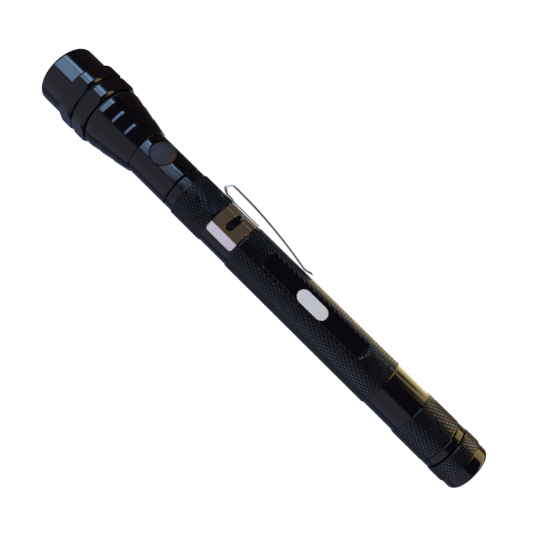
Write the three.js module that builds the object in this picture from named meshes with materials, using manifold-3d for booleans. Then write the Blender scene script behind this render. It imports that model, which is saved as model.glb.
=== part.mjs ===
// Retractable flashlight: a light head on a jointed neck and a telescopic mast that slides into a
// tubular handle with a pocket clip. Millimetres. +X runs from the tail face (X = 0) to the front of
// the head and +Z is up. Angles round the axis are counted from +Z towards -Y.
import * as THREE from 'three';
import { mergeVertices } from 'three/addons/utils/BufferGeometryUtils.js';
import Module from 'manifold-3d';

const wasm = await Module();
wasm.setup();

// Clearances
const CLEARANCE = 0.3;
const SLIDE_CLEARANCE = 0.15;
const SEAT_CLEARANCE = 0.1;

// Handle: lengths of the bands from the tail to the mouth, then radii
const TAIL_END_LENGTH = 3.9;
const TAIL_GRIP_LENGTH = 5.1;
const TAIL_PLUG_LENGTH = 4;
const REAR_BAND_LENGTH = 2.4;
const REAR_GRIP_LENGTH = 11.8;
const WAIST_LENGTH = 11.4;
const MAIN_GRIP_LENGTH = 57.4;
const CLIP_SEAT_LENGTH = 10.8;
const FRONT_GRIP_LENGTH = 12.25;
const MOUTH_LENGTH = 2.75;
const BORE_RADIUS = 6.2;
const GRIP_WALL = 1.55;
const WAIST_DEPTH = 0.3;
const CLIP_SEAT_DEPTH = 0.28;
const REAR_BAND_DEPTH = 0.1;
const MOUTH_DEPTH = 0.35;
const BAND_CHAMFER = 0.25;
const TAIL_GRIP_RISE = 0.1;
const TAIL_END_DEPTH = 0.25;
const TAIL_ROUNDING = 1.5;
const TAIL_MAGNET_RADIUS = 4;
const TAIL_MAGNET_LENGTH = 3;
const IMPRINT_ANGLE = 34;
const IMPRINT_LENGTH = 37.5;
const IMPRINT_DEPTH = 0.7;
const IMPRINT_RUNOUT = 1;
const IMPRINT_FROM_SEAT = 9.2;

// Pocket clip
const CLIP_ANGLE = 95.5;
const CLIP_THICKNESS = 0.6;
const CLIP_WIDTH = 5;
const CLIP_BAND_LENGTH = 10.2;
const CLIP_BAND_HALF_ANGLE = 112;
const CLIP_SLOT_WIDTH = 2.6;
const CLIP_SLOT_START = 22;
const CLIP_SLOT_END = 74;
const CLIP_NOSE_RADIUS = 1.55;
const CLIP_NOSE_REACH = 3.1;
const CLIP_ARM_LENGTH = 31.4;
const CLIP_TOE_RADIUS = 3;
const CLIP_TOE_LENGTH = 2.8;
const CLIP_TOE_ANGLE = 16;
const CLIP_TONGUE_ROOT = 1;
const CLIP_CORNER = 1;
const CLIP_FACET_ANGLE = 10;

// Telescopic mast
const MAST_SECTIONS = 6;
const MAST_WALL = 0.3;
const MAST_STOP = 0.2;
const MAST_LIP = 1;
const MAST_SHOE_LENGTH = 4;
const MAST_TIP_LENGTH = 4.6;
const SHOE_SEAT = 0.05;

// Jointed neck
const NECK_LINKS = 8;
const NECK_PITCH = 3.5;
const NECK_RADIUS = 3;
const NECK_BALL_RADIUS = 1.95;
const NECK_SOCKET_GAP = 0.25;
const NECK_RIM = 0.5;
const NECK_SHELL_LENGTH = 2.5;
const NECK_EDGE = 0.3;
const NECK_STEM = 1.2;
const FERRULE_WALL = 1.1;
const FERRULE_SPIGOT_RADIUS = 2;
const FERRULE_SPIGOT_LENGTH = 6.2;

// Light head: lengths from its rear face to its rim, then radii
const HEAD_NECK_LENGTH = 15.6;
const TAPER_LENGTHS = [5.8, 4.9, 4.9];
const TAPER_LANDS = [0.9, 0.9, 1.7];
const RING_GROOVE_LENGTH = 1;
const HEX_RING_LENGTH = 5;
const HEX_GROOVE_LENGTH = 0.6;
const BEZEL_NOSE_LENGTH = 8.8;
const BEZEL_WALL = 1.2;
const BEZEL_ROUNDING = 1;
const BEZEL_LIP_LENGTH = 1.2;
const BEZEL_LIP_HEIGHT = 0.8;
const HEX_FLAT_RISE = 0.3;
const HEX_CORNER_RISE = 1.1;
const HEX_CHAMFER = 0.7;
const HEX_SIDES = 6;
const HEX_GROOVE_DEPTH = 0.5;
const TAPER_RISE = 0.2;
const TAPER_REAR_RISE = 0.45;
const HEAD_NECK_WALL = 1.025;
const HEAD_NECK_CAVITY = 6.4;
const HEAD_EDGE = 0.3;
const SPIGOT_WALL = 1.7;
const SPIGOT_LENGTH = 7.8;
const BULKHEAD = 1.6;
const RING_WIRE_RADIUS = 0.42;
const PLUG_FLANGE_LENGTH = 2.7;
const PLUG_CONE_LENGTH = 5.2;
const PLUG_CONE_GAP = 0.55;
const PLUG_TIP_RISE = 0.2;

// Light, cells and switch
const PLATE_THICKNESS = 2.5;
const BOARD_THICKNESS = 1.6;
const LED_COUNT = 3;
const LED_RADIUS = 2.4;
const LED_CIRCLE = 5.3;
const LED_BODY_LENGTH = 2.4;
const LED_FLANGE = 0.35;
const LED_FLANGE_LENGTH = 1;
const LED_STAND = 2.2;
const LED_STEP = 360 / LED_COUNT;
const HEAD_MAGNET_RADIUS = 2.2;
const HEAD_MAGNET_SINK = 0.3;
const CELL_COUNT = 4;
const CELL_RADIUS = 5.8;
const CELL_HEIGHT = 5.4;
const CELL_CAP_RADIUS = 4.9;
const CELL_CAP_HEIGHT = 0.5;
const CELL_EDGE = 0.3;
const SLEEVE_WALL = 0.5;
const CONTACT_THICKNESS = 0.3;
const FRONT_CONTACT_RADIUS = 3;
const REAR_CONTACT_RADIUS = 4.5;
const REAR_CONTACT_HEIGHT = 0.7;
const BUTTON_ANGLE = 38;
const BUTTON_TO_TAPER = 6.2;
const BUTTON_RADIUS = 4;
const BUTTON_TOP_RADIUS = 3.2;
const BUTTON_RISE = 1;
const BUTTON_CROWN = 0.15;
const BUTTON_FLANGE = 0.65;
const BUTTON_FLANGE_THICKNESS = 0.8;
const SWITCH_WIDTH = 6.4;
const SWITCH_HEIGHT = 3.2;
const SWITCH_TOP = 2;
const SWITCH_WELL_DEPTH = 2.2;
const PLUNGER_RADIUS = 1.3;
const PLUNGER_SINK = 1.1;

// Faces round a turned piece
const FINE_SIDES = 32;
const MAST_SIDES = 18;
const NECK_SIDES = 12;
const SMALL_SIDES = 16;

// Steps along an arc of an outline
const EDGE_STEPS = 4;
const TAIL_STEPS = 3;
const DOME_STEPS = 3;
const RING_STEPS = 6;
const CLIP_BOW_STEPS = 6;
const CLIP_BEND_STEPS = 10;

// Stations along the axis, from the tail to the rim
const tailGripFront = TAIL_END_LENGTH + TAIL_GRIP_LENGTH;
const tailPlugFront = tailGripFront + TAIL_PLUG_LENGTH;
const tubeRear = tailGripFront + CLEARANCE;
const rearBandFront = tubeRear + REAR_BAND_LENGTH;
const rearGripFront = rearBandFront + REAR_GRIP_LENGTH;
const waistFront = rearGripFront + WAIST_LENGTH;
const mainGripFront = waistFront + MAIN_GRIP_LENGTH;
const clipSeatFront = mainGripFront + CLIP_SEAT_LENGTH;
const frontGripFront = clipSeatFront + FRONT_GRIP_LENGTH;
const mouth = frontGripFront + MOUTH_LENGTH;
const headRear = mouth + CLEARANCE;
const taperRear = headRear + HEAD_NECK_LENGTH;
const taperFront = taperRear + TAPER_LENGTHS.reduce((sum, length) => sum + length, 0);
const bezelRear = taperFront + RING_GROOVE_LENGTH;
const hexGrooveRear = bezelRear + HEX_RING_LENGTH;
const hexGrooveFront = hexGrooveRear + HEX_GROOVE_LENGTH;
const hexFront = hexGrooveFront + HEX_RING_LENGTH;
const rim = hexFront + BEZEL_NOSE_LENGTH;

// Stations inside the head, from the rim back to the bulkhead behind the cells
const lipRear = rim - BEZEL_LIP_LENGTH;
const plateFront = lipRear - CLEARANCE;
const plateRear = plateFront - PLATE_THICKNESS;
const boardFront = plateRear - LED_STAND;
const boardRear = boardFront - BOARD_THICKNESS;
const frontContactFront = boardRear - SLIDE_CLEARANCE;
const cellsFront = frontContactFront - CONTACT_THICKNESS - SLIDE_CLEARANCE;
const cellPitch = CELL_HEIGHT + SEAT_CLEARANCE;
const cellsRear = cellsFront - CELL_COUNT * cellPitch;
const rearContactRear = cellsRear - REAR_CONTACT_HEIGHT;
const bulkheadFront = rearContactRear - CLEARANCE;
const bulkheadRear = bulkheadFront - BULKHEAD;
const buttonX = taperRear - BUTTON_TO_TAPER;

// Radii that follow from the bores and walls
const gripRadius = BORE_RADIUS + GRIP_WALL;
const clipSeatRadius = gripRadius - CLIP_SEAT_DEPTH;
const mouthRadius = gripRadius - MOUTH_DEPTH;
const clipBandFront = clipSeatFront - (CLIP_SEAT_LENGTH - CLIP_BAND_LENGTH) / 2;
const clipTongueMiddle = gripRadius + SLIDE_CLEARANCE + CLIP_THICKNESS / 2;
const headNeckRadius = HEAD_NECK_CAVITY + HEAD_NECK_WALL;
const buttonFlangeRadius = BUTTON_RADIUS + BUTTON_FLANGE;
const buttonFlangeTop = Math.sqrt((HEAD_NECK_CAVITY - CLEARANCE) ** 2 - buttonFlangeRadius ** 2);
const sleeveBore = CELL_RADIUS + CLEARANCE;
const cellBore = sleeveBore + SLEEVE_WALL + CLEARANCE;
const spigotRadius = cellBore + SPIGOT_WALL;
const bezelBore = spigotRadius + CLEARANCE;
const bezelRadius = bezelBore + BEZEL_WALL;
const hexFlat = bezelRadius + HEX_FLAT_RISE;
const hexCorner = bezelRadius + HEX_CORNER_RISE;
const taperFrontRadius = bezelRadius + TAPER_RISE;
const taperRearRadius = headNeckRadius + TAPER_REAR_RISE;
const lipRadius = bezelBore - BEZEL_LIP_HEIGHT;

// The mast: each section leaves room for a shoe and a lip that stop one another
const mastGap = 2 * SLIDE_CLEARANCE + MAST_STOP;
const mastRadius = (index) => BORE_RADIUS - mastGap - index * (MAST_WALL + mastGap);
const mastRear = tailPlugFront + CLEARANCE;
const mouthLipRadius = mastRadius(0) + SLIDE_CLEARANCE;
const rodRadius = mastRadius(MAST_SECTIONS - 1);

// The neck: hinge centres from the head's plug back to the mast
const plugTip = headRear - PLUG_CONE_LENGTH;
const plugFront = headRear + PLUG_FLANGE_LENGTH;
const socketRadius = NECK_BALL_RADIUS + NECK_SOCKET_GAP;
const frontHinge = plugTip - CLEARANCE - NECK_SHELL_LENGTH + NECK_RIM;
const rearHinge = frontHinge - NECK_LINKS * NECK_PITCH;
const rearFerruleFront = rearHinge - NECK_PITCH + NECK_SHELL_LENGTH - NECK_RIM;
const mastTip = rearFerruleFront - FERRULE_WALL - CLEARANCE;
const ferruleRear = mastTip - MAST_TIP_LENGTH;
const mastFront = ferruleRear - CLEARANCE;

const radians = THREE.MathUtils.degToRad;

/** Points [x, r] along an arc of a profile, angles in degrees from +X. */
function arc(x, r, radius, from, to, steps) {
  return Array.from({ length: steps + 1 }, (_, step) => {
    const angle = radians(from + (to - from) * step / steps);
    return [x + radius * Math.cos(angle), r + radius * Math.sin(angle)];
  });
}

/** Six times the volume inside a triangle list, negative where its faces point inwards. */
function signedVolume(positions, triangles) {
  const corners = [new THREE.Vector3(), new THREE.Vector3(), new THREE.Vector3()];
  let total = 0;
  for (let corner = 0; corner < triangles.length; corner += 3) {
    corners.forEach((point, side) => point.fromArray(positions, 3 * triangles[corner + side]));
    total += corners[0].dot(corners[1].clone().cross(corners[2]));
  }
  return total;
}

/** A closed three.js geometry as a solid, with its faces turned outwards. */
function solid(geometry) {
  const bare = geometry.clone();
  bare.deleteAttribute('normal');
  bare.deleteAttribute('uv');
  const merged = mergeVertices(bare);
  const index = merged.index.array;
  const triVerts = [];
  for (let corner = 0; corner < index.length; corner += 3) {
    const [a, b, c] = index.slice(corner, corner + 3);
    const isFlat = a === b || b === c || c === a;
    if (!isFlat) triVerts.push(a, b, c);
  }
  const vertProperties = merged.attributes.position.array;
  if (signedVolume(vertProperties, triVerts) < 0) triVerts.reverse();
  const mesh = new wasm.Mesh({ numProp: 3, vertProperties, triVerts: Uint32Array.from(triVerts) });
  return new wasm.Manifold(mesh);
}

/** A profile of [x, r] points turned round the X axis. It starts and ends on the axis or is a ring. */
function turned(profile, sides) {
  const isRing = profile[0][1] > 0;
  const outline = isRing ? [...profile, profile[0]] : profile;
  const geometry = new THREE.LatheGeometry(outline.map(([x, r]) => new THREE.Vector2(r, x)), sides);
  return geometry.rotateZ(-Math.PI / 2);
}

/** A plain rod or disc on the X axis. */
function rod(rear, front, radius, sides) {
  return turned([[rear, 0], [rear, radius], [front, radius], [front, 0]], sides);
}

/** A profile of [h, r] points turned round a line that leaves the axis at x, along +Z. */
function turnedOutward(profile, x, sides) {
  const upright = new THREE.LatheGeometry(profile.map(([h, r]) => new THREE.Vector2(r, h)), sides);
  return upright.rotateX(Math.PI / 2).translate(x, 0, 0);
}

/** An outline in the X-Y plane, extruded between two heights. */
function block(points, low, high) {
  const shape = new THREE.Shape(points.map(([x, y]) => new THREE.Vector2(x, y)));
  const geometry = new THREE.ExtrudeGeometry(shape, { depth: high - low, bevelEnabled: false });
  return geometry.translate(0, 0, low);
}

/** A profile in the X-Z plane, extruded to a width centred on Y = 0. */
function plate(points, width) {
  const shape = new THREE.Shape(points.map(([x, h]) => new THREE.Vector2(x, h)));
  const geometry = new THREE.ExtrudeGeometry(shape, { depth: width, bevelEnabled: false });
  return geometry.translate(0, 0, -width / 2).rotateX(Math.PI / 2);
}

/** A section in the Y-Z plane, drawn with its first axis along +Y, extruded along X. */
function along(shape, rear, front, curveSegments) {
  const depth = front - rear;
  const geometry = new THREE.ExtrudeGeometry(shape, { depth, bevelEnabled: false, curveSegments });
  const [x, y, z] = [new THREE.Vector3(1, 0, 0), new THREE.Vector3(0, 1, 0), new THREE.Vector3(0, 0, 1)];
  return geometry.applyMatrix4(new THREE.Matrix4().makeBasis(y, z, x)).translate(rear, 0, 0);
}

/** A piece that faces +Z, turned to face another angle round the axis. */
function facing(geometry, angle) {
  return geometry.rotateX(radians(angle));
}

/** Adds a geometry or a solid to a group as a named mesh with its own material. */
function add(group, name, piece, [color, roughness, metalness]) {
  const shape = piece.isBufferGeometry ? solid(piece) : piece;
  const { vertProperties, triVerts } = shape.getMesh();
  const geometry = new THREE.BufferGeometry();
  geometry.setAttribute('position', new THREE.BufferAttribute(vertProperties, 3));
  geometry.setIndex(new THREE.BufferAttribute(triVerts, 1));
  geometry.computeVertexNormals();
  const mesh = new THREE.Mesh(geometry, new THREE.MeshStandardMaterial({ color, roughness, metalness }));
  mesh.name = name;
  group.add(mesh);
  return mesh;
}

// Finishes: colour, roughness, metalness
const ANODISED = [0x101114, 0.25, 0.8];
const CHROME = [0xd8d4cc, 0.1, 1];
const BRASS = [0xb8924a, 0.3, 1];
const STEEL = [0xb9bcc0, 0.25, 1];
const RUBBER = [0x2c2d2f, 0.8, 0];
const BLACK_PLASTIC = [0x1c1c1e, 0.5, 0];
const BOARD_GREEN = [0x24502f, 0.5, 0];
const LED_CLEAR = [0xe8eef4, 0.1, 0];

/** A band of a turned outline with both of its edges chamfered. */
function band(rear, front, radius) {
  return [
    [rear, radius - BAND_CHAMFER],
    [rear + BAND_CHAMFER, radius],
    [front - BAND_CHAMFER, radius],
    [front, radius - BAND_CHAMFER],
  ];
}

function bodyTube() {
  const profile = [
    [tubeRear, BORE_RADIUS],
    ...band(tubeRear, rearBandFront, gripRadius - REAR_BAND_DEPTH),
    ...band(rearBandFront, rearGripFront, gripRadius),
    [rearGripFront, gripRadius - WAIST_DEPTH],
    [waistFront, gripRadius - WAIST_DEPTH],
    ...band(waistFront, mainGripFront, gripRadius),
    [mainGripFront, clipSeatRadius],
    [clipSeatFront, clipSeatRadius],
    ...band(clipSeatFront, frontGripFront, gripRadius),
    [frontGripFront, mouthRadius],
    [mouth - BAND_CHAMFER, mouthRadius],
    [mouth, mouthRadius - BAND_CHAMFER],
    [mouth, mouthLipRadius],
    [frontGripFront, mouthLipRadius],
    [frontGripFront, BORE_RADIUS],
  ];
  return solid(turned(profile, FINE_SIDES)).subtract(solid(facing(imprintCut(), IMPRINT_ANGLE)));
}

/** The milled flat on the grip: a shallow cut whose two ends run out on a slope. */
function imprintCut() {
  const front = mainGripFront - IMPRINT_FROM_SEAT;
  const rear = front - IMPRINT_LENGTH;
  const floor = gripRadius - IMPRINT_DEPTH;
  const open = gripRadius + CLEARANCE;
  const [low, high] = [rear - IMPRINT_RUNOUT, front + IMPRINT_RUNOUT];
  return plate([[rear, floor], [front, floor], [high, open], [low, open]], 2 * gripRadius);
}

function tailCap() {
  const endRadius = gripRadius - TAIL_END_DEPTH;
  const pocketRadius = TAIL_MAGNET_RADIUS + CLEARANCE;
  const pocketFront = TAIL_MAGNET_LENGTH + SEAT_CLEARANCE;
  return turned([
    [pocketFront, 0],
    [pocketFront, pocketRadius],
    [0, pocketRadius],
    ...arc(TAIL_ROUNDING, endRadius - TAIL_ROUNDING, TAIL_ROUNDING, 180, 90, TAIL_STEPS),
    [TAIL_END_LENGTH, endRadius],
    ...band(TAIL_END_LENGTH, tailGripFront, gripRadius + TAIL_GRIP_RISE),
    [tailGripFront, BORE_RADIUS - CLEARANCE],
    [tailPlugFront, BORE_RADIUS - CLEARANCE],
    [tailPlugFront, 0],
  ], FINE_SIDES);
}

/** The clip's spring arm: a tongue, a nose, a bowed arm and a turned-up toe with a round end. */
function clipArm() {
  const noseX = clipBandFront + CLIP_NOSE_REACH;
  const noseH = clipTongueMiddle + CLIP_NOSE_RADIUS;
  const top = noseH + CLIP_NOSE_RADIUS;
  const drop = top - gripRadius - CLEARANCE - CLIP_THICKNESS / 2;
  const bow = (CLIP_ARM_LENGTH ** 2 + drop ** 2) / (2 * drop);
  const bowAngle = THREE.MathUtils.radToDeg(Math.asin(CLIP_ARM_LENGTH / bow));
  const toeX = noseX - (bow + CLIP_TOE_RADIUS) * Math.sin(radians(bowAngle));
  const toeH = top - bow + (bow + CLIP_TOE_RADIUS) * Math.cos(radians(bowAngle));
  const reachX = CLIP_TOE_LENGTH * Math.cos(radians(CLIP_TOE_ANGLE));
  const reachH = CLIP_TOE_LENGTH * Math.sin(radians(CLIP_TOE_ANGLE));
  const side = (offset) => {
    const toe = arc(toeX, toeH, CLIP_TOE_RADIUS - offset, 270 + bowAngle, 270 - CLIP_TOE_ANGLE, EDGE_STEPS);
    const [lastX, lastH] = toe.at(-1);
    return [
      [clipBandFront - CLIP_TONGUE_ROOT, clipTongueMiddle - offset],
      ...arc(noseX, noseH, CLIP_NOSE_RADIUS + offset, 270, 450, CLIP_BEND_STEPS),
      ...arc(noseX, top - bow, bow + offset, 90, 90 + bowAngle, CLIP_BOW_STEPS).slice(1, -1),
      ...toe,
      [lastX - reachX, lastH + reachH],
    ];
  };
  const ribbon = plate([...side(CLIP_THICKNESS / 2), ...side(-CLIP_THICKNESS / 2).reverse()], CLIP_WIDTH);
  const half = CLIP_WIDTH / 2;
  const tipX = toeX - CLIP_TOE_RADIUS * Math.sin(radians(CLIP_TOE_ANGLE)) - reachX;
  const frontX = noseX + CLIP_WIDTH;
  const plan = [...arc(tipX + half, 0, half, 90, 270, CLIP_BEND_STEPS), [frontX, -half], [frontX, half]];
  return solid(ribbon).intersect(solid(block(plan, 0, 2 * top)));
}

/** A stretch of ring round the axis, between two angles from +Z towards -Y. */
function ringStretch(inner, outer, from, to, rear, front) {
  const shape = new THREE.Shape();
  const [start, end] = [radians(90 + from), radians(90 + to)];
  shape.absarc(0, 0, outer, start, end, false);
  shape.absarc(0, 0, inner, end, start, true);
  return along(shape, rear, front, Math.ceil((to - from) / CLIP_FACET_ANGLE));
}

/** What rounding takes off a square corner at [x, 0]; outX and outY point out of the sheet. */
function cornerCut(x, outX, outY, radius, height) {
  const outer = radius + CLEARANCE;
  const from = outX > 0 ? 0 : 180;
  const to = outX > 0 ? 90 * outY : 180 - 90 * outY;
  return block([
    [x + outX * CLEARANCE, outY * CLEARANCE],
    [x + outX * CLEARANCE, -outY * radius],
    ...arc(x - outX * radius, -outY * radius, radius, from, to, EDGE_STEPS),
    [x - outX * radius, outY * CLEARANCE],
  ], 0, height + outer);
}

/** The clip's band: an open ring with rounded corners and a round-ended slot on either side. */
function clipBand() {
  const inner = clipSeatRadius + SEAT_CLEARANCE;
  const outer = inner + CLIP_THICKNESS;
  const rear = clipBandFront - CLIP_BAND_LENGTH;
  const middle = clipBandFront - CLIP_BAND_LENGTH / 2;
  const half = CLIP_SLOT_WIDTH / 2;
  const through = [inner - CLIP_THICKNESS, outer + CLIP_THICKNESS];
  const slotEnd = [[through[0], 0], [through[0], half], [through[1], half], [through[1], 0]];
  const end = CLIP_BAND_HALF_ANGLE;
  let shape = solid(ringStretch(inner, outer, -end, end, rear, clipBandFront));
  for (const side of [-1, 1]) {
    const angles = [side * CLIP_SLOT_START, side * CLIP_SLOT_END].sort((a, b) => a - b);
    shape = shape.subtract(solid(ringStretch(...through, ...angles, middle - half, middle + half)));
    for (const angle of angles) {
      shape = shape.subtract(solid(facing(turnedOutward(slotEnd, middle, SMALL_SIDES), angle)));
    }
    for (const [x, outX] of [[rear, -1], [clipBandFront, 1]]) {
      const cut = cornerCut(x, outX, -side, CLIP_CORNER, outer);
      shape = shape.subtract(solid(facing(cut, side * end)));
    }
  }
  return shape;
}

function pocketClip() {
  return clipBand().add(clipArm());
}

/** A mast section: a thin tube whose front is rolled in to a lip that stops the next one's shoe. */
function mastTube(index) {
  const outer = mastRadius(index);
  const inner = outer - MAST_WALL;
  const lip = mastRadius(index + 1) + SLIDE_CLEARANCE;
  return turned([
    [mastRear, inner],
    [mastRear, outer],
    [mastFront - MAST_WALL, outer],
    [mastFront, inner],
    [mastFront, lip],
    [mastFront - MAST_LIP, lip],
    [mastFront - MAST_LIP, inner],
  ], MAST_SIDES);
}

/** The innermost section: a solid rod that ends in the neck's rear ferrule. */
function mastRod() {
  return turned([
    [mastRear, 0],
    [mastRear, rodRadius],
    [mastTip - MAST_WALL, rodRadius],
    [mastTip, rodRadius - MAST_WALL],
    [mastTip, 0],
  ], MAST_SIDES);
}

/** The brass shoe on the rear end of a section, which rubs inside the section round it. */
function mastShoe(index) {
  const inner = mastRadius(index) + SHOE_SEAT;
  const outer = mastRadius(index) + mastGap - SLIDE_CLEARANCE;
  const front = mastRear + MAST_SHOE_LENGTH;
  return turned([[mastRear, inner], [mastRear, outer], [front, outer], [front, inner]], MAST_SIDES);
}

/** The socket end of a neck piece, drawn with its hinge at x = 0, from the axis out to its front edge. */
function neckSocket() {
  const rimAngle = THREE.MathUtils.radToDeg(Math.acos(-NECK_RIM / socketRadius));
  const shellFront = NECK_SHELL_LENGTH - NECK_RIM;
  return [
    ...arc(0, 0, socketRadius, 0, rimAngle, EDGE_STEPS),
    [-NECK_RIM, NECK_RADIUS - NECK_EDGE],
    [-NECK_RIM + NECK_EDGE, NECK_RADIUS],
    [shellFront - NECK_EDGE, NECK_RADIUS],
    [shellFront, NECK_RADIUS - NECK_EDGE],
  ];
}

/** The ball end of a neck piece, from its stem to the axis, with its hinge at x. */
function neckBall(x) {
  const stemAngle = THREE.MathUtils.radToDeg(Math.acos(-NECK_STEM / NECK_BALL_RADIUS));
  return arc(x, 0, NECK_BALL_RADIUS, stemAngle, 0, EDGE_STEPS);
}

function neckLink() {
  const shellFront = NECK_SHELL_LENGTH - NECK_RIM;
  return turned([...neckSocket(), [shellFront, NECK_BALL_RADIUS], ...neckBall(NECK_PITCH)], NECK_SIDES);
}

function neckRearFerrule() {
  const bore = rodRadius + SLIDE_CLEARANCE;
  const boreFront = rearFerruleFront - FERRULE_WALL;
  return turned([
    [boreFront, 0],
    [boreFront, bore],
    [ferruleRear, bore],
    [ferruleRear, NECK_RADIUS - NECK_EDGE],
    [ferruleRear + NECK_EDGE, NECK_RADIUS],
    [rearFerruleFront - NECK_EDGE, NECK_RADIUS],
    [rearFerruleFront, NECK_RADIUS - NECK_EDGE],
    [rearFerruleFront, NECK_BALL_RADIUS],
    ...neckBall(rearHinge),
  ], NECK_SIDES);
}

function neckFrontFerrule() {
  const shellFront = NECK_SHELL_LENGTH - NECK_RIM;
  const spigotFront = shellFront + FERRULE_SPIGOT_LENGTH;
  return turned([
    ...neckSocket(),
    [shellFront, FERRULE_SPIGOT_RADIUS],
    [spigotFront, FERRULE_SPIGOT_RADIUS],
    [spigotFront, 0],
  ], NECK_SIDES);
}

/** Closes the rear of the head, centres it in the handle's mouth and carries the neck. */
function headPlug() {
  const bore = FERRULE_SPIGOT_RADIUS + CLEARANCE;
  const boreFront = plugTip + FERRULE_SPIGOT_LENGTH;
  const flangeRadius = HEAD_NECK_CAVITY - CLEARANCE;
  return turned([
    [boreFront, 0],
    [boreFront, bore],
    [plugTip, bore],
    [plugTip, NECK_RADIUS + PLUG_TIP_RISE],
    [headRear, mouthLipRadius - PLUG_CONE_GAP],
    [headRear, flangeRadius],
    [plugFront, flangeRadius],
    [plugFront, 0],
  ], FINE_SIDES);
}

/** The outline of the head's taper: cones of one slope, each with a plain land in front of it. */
function taperOutline() {
  const lands = TAPER_LANDS.reduce((sum, length) => sum + length, 0);
  const slope = (taperFrontRadius - taperRearRadius) / (taperFront - taperRear - lands);
  let x = taperRear;
  let radius = taperRearRadius;
  const outline = [[x, radius]];
  TAPER_LENGTHS.forEach((length, index) => {
    x += length;
    radius += slope * (length - TAPER_LANDS[index]);
    outline.push([x - TAPER_LANDS[index], radius], [x, radius]);
  });
  return outline;
}

function headBody() {
  const spigotFront = taperFront + SPIGOT_LENGTH;
  const profile = [
    [bulkheadRear, 0],
    [bulkheadRear, HEAD_NECK_CAVITY],
    [headRear, HEAD_NECK_CAVITY],
    [headRear, headNeckRadius - HEAD_EDGE],
    [headRear + HEAD_EDGE, headNeckRadius],
    [taperRear, headNeckRadius],
    ...taperOutline(),
    [taperFront, spigotRadius],
    [spigotFront, spigotRadius],
    [spigotFront, cellBore],
    [bulkheadFront, cellBore],
    [bulkheadFront, 0],
  ];
  const radius = BUTTON_RADIUS + CLEARANCE;
  const top = taperFrontRadius;
  const hole = turnedOutward([[0, 0], [0, radius], [top, radius], [top, 0]], buttonX, SMALL_SIDES);
  return solid(turned(profile, FINE_SIDES)).subtract(solid(facing(hole, BUTTON_ANGLE)));
}

/** The bezel: a plain nose with a rounded rim, and two rings with six flats for a grip. */
function headBezel() {
  const groove = hexCorner - HEX_CHAMFER - HEX_GROOVE_DEPTH;
  const ring = (rear, front) => [
    [rear, hexCorner - HEX_CHAMFER],
    [rear + HEX_CHAMFER, hexCorner],
    [front - HEX_CHAMFER, hexCorner],
    [front, hexCorner - HEX_CHAMFER],
  ];
  const outside = solid(turned([
    [bezelRear, 0],
    ...ring(bezelRear, hexGrooveRear),
    [(hexGrooveRear + hexGrooveFront) / 2, groove],
    ...ring(hexGrooveFront, hexFront),
    [hexFront, bezelRadius],
    ...arc(rim - BEZEL_ROUNDING, bezelRadius - BEZEL_ROUNDING, BEZEL_ROUNDING, 90, 0, EDGE_STEPS),
    [rim, 0],
  ], FINE_SIDES));
  const corner = hexFlat / Math.cos(Math.PI / HEX_SIDES);
  const flats = rod(bezelRear - CLEARANCE, rim + CLEARANCE, corner, HEX_SIDES).rotateX(Math.PI / HEX_SIDES);
  const bore = turned([
    [bezelRear - CLEARANCE, 0],
    [bezelRear - CLEARANCE, bezelBore],
    [lipRear, bezelBore],
    [lipRear, lipRadius],
    [rim + CLEARANCE, lipRadius],
    [rim + CLEARANCE, 0],
  ], FINE_SIDES);
  return outside.intersect(solid(flats)).subtract(solid(bore));
}

function bezelRing() {
  const middle = spigotRadius + SEAT_CLEARANCE + RING_WIRE_RADIUS;
  const section = arc((taperFront + bezelRear) / 2, middle, RING_WIRE_RADIUS, 0, 360, RING_STEPS).slice(1);
  return turned(section, FINE_SIDES);
}

/** The plate behind the rim, with a hole for each LED round the hole for the magnet. */
function ledPlate() {
  const rear = plateRear - CLEARANCE;
  const front = plateFront + CLEARANCE;
  let shape = solid(rod(plateRear, plateFront, bezelBore - CLEARANCE, FINE_SIDES));
  shape = shape.subtract(solid(rod(rear, front, HEAD_MAGNET_RADIUS + SLIDE_CLEARANCE, SMALL_SIDES)));
  for (let index = 0; index < LED_COUNT; index += 1) {
    const hole = rod(rear, front, LED_RADIUS + SLIDE_CLEARANCE, SMALL_SIDES).translate(0, 0, LED_CIRCLE);
    shape = shape.subtract(solid(facing(hole, index * LED_STEP)));
  }
  return shape;
}

function led() {
  const base = boardFront + SEAT_CLEARANCE;
  const bodyRear = base + LED_FLANGE_LENGTH;
  const domeX = bodyRear + LED_BODY_LENGTH;
  return turned([
    [base, 0],
    [base, LED_RADIUS + LED_FLANGE],
    [bodyRear, LED_RADIUS + LED_FLANGE],
    [bodyRear, LED_RADIUS],
    ...arc(domeX, 0, LED_RADIUS, 90, 0, DOME_STEPS),
  ], SMALL_SIDES);
}

/** A button cell, drawn with its can's rear face at x = 0 and the raised cap at the front. */
function buttonCell() {
  const canFront = CELL_HEIGHT - CELL_CAP_HEIGHT;
  return turned([
    [0, 0],
    [0, CELL_RADIUS - CELL_EDGE],
    [CELL_EDGE, CELL_RADIUS],
    [canFront, CELL_RADIUS],
    [canFront, CELL_CAP_RADIUS],
    [CELL_HEIGHT, CELL_CAP_RADIUS],
    [CELL_HEIGHT, 0],
  ], MAST_SIDES);
}

function cellSleeve() {
  const rear = bulkheadFront + CLEARANCE;
  const front = boardRear - CLEARANCE;
  const outer = sleeveBore + SLEEVE_WALL;
  return turned([[rear, sleeveBore], [rear, outer], [front, outer], [front, sleeveBore]], MAST_SIDES);
}

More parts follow.
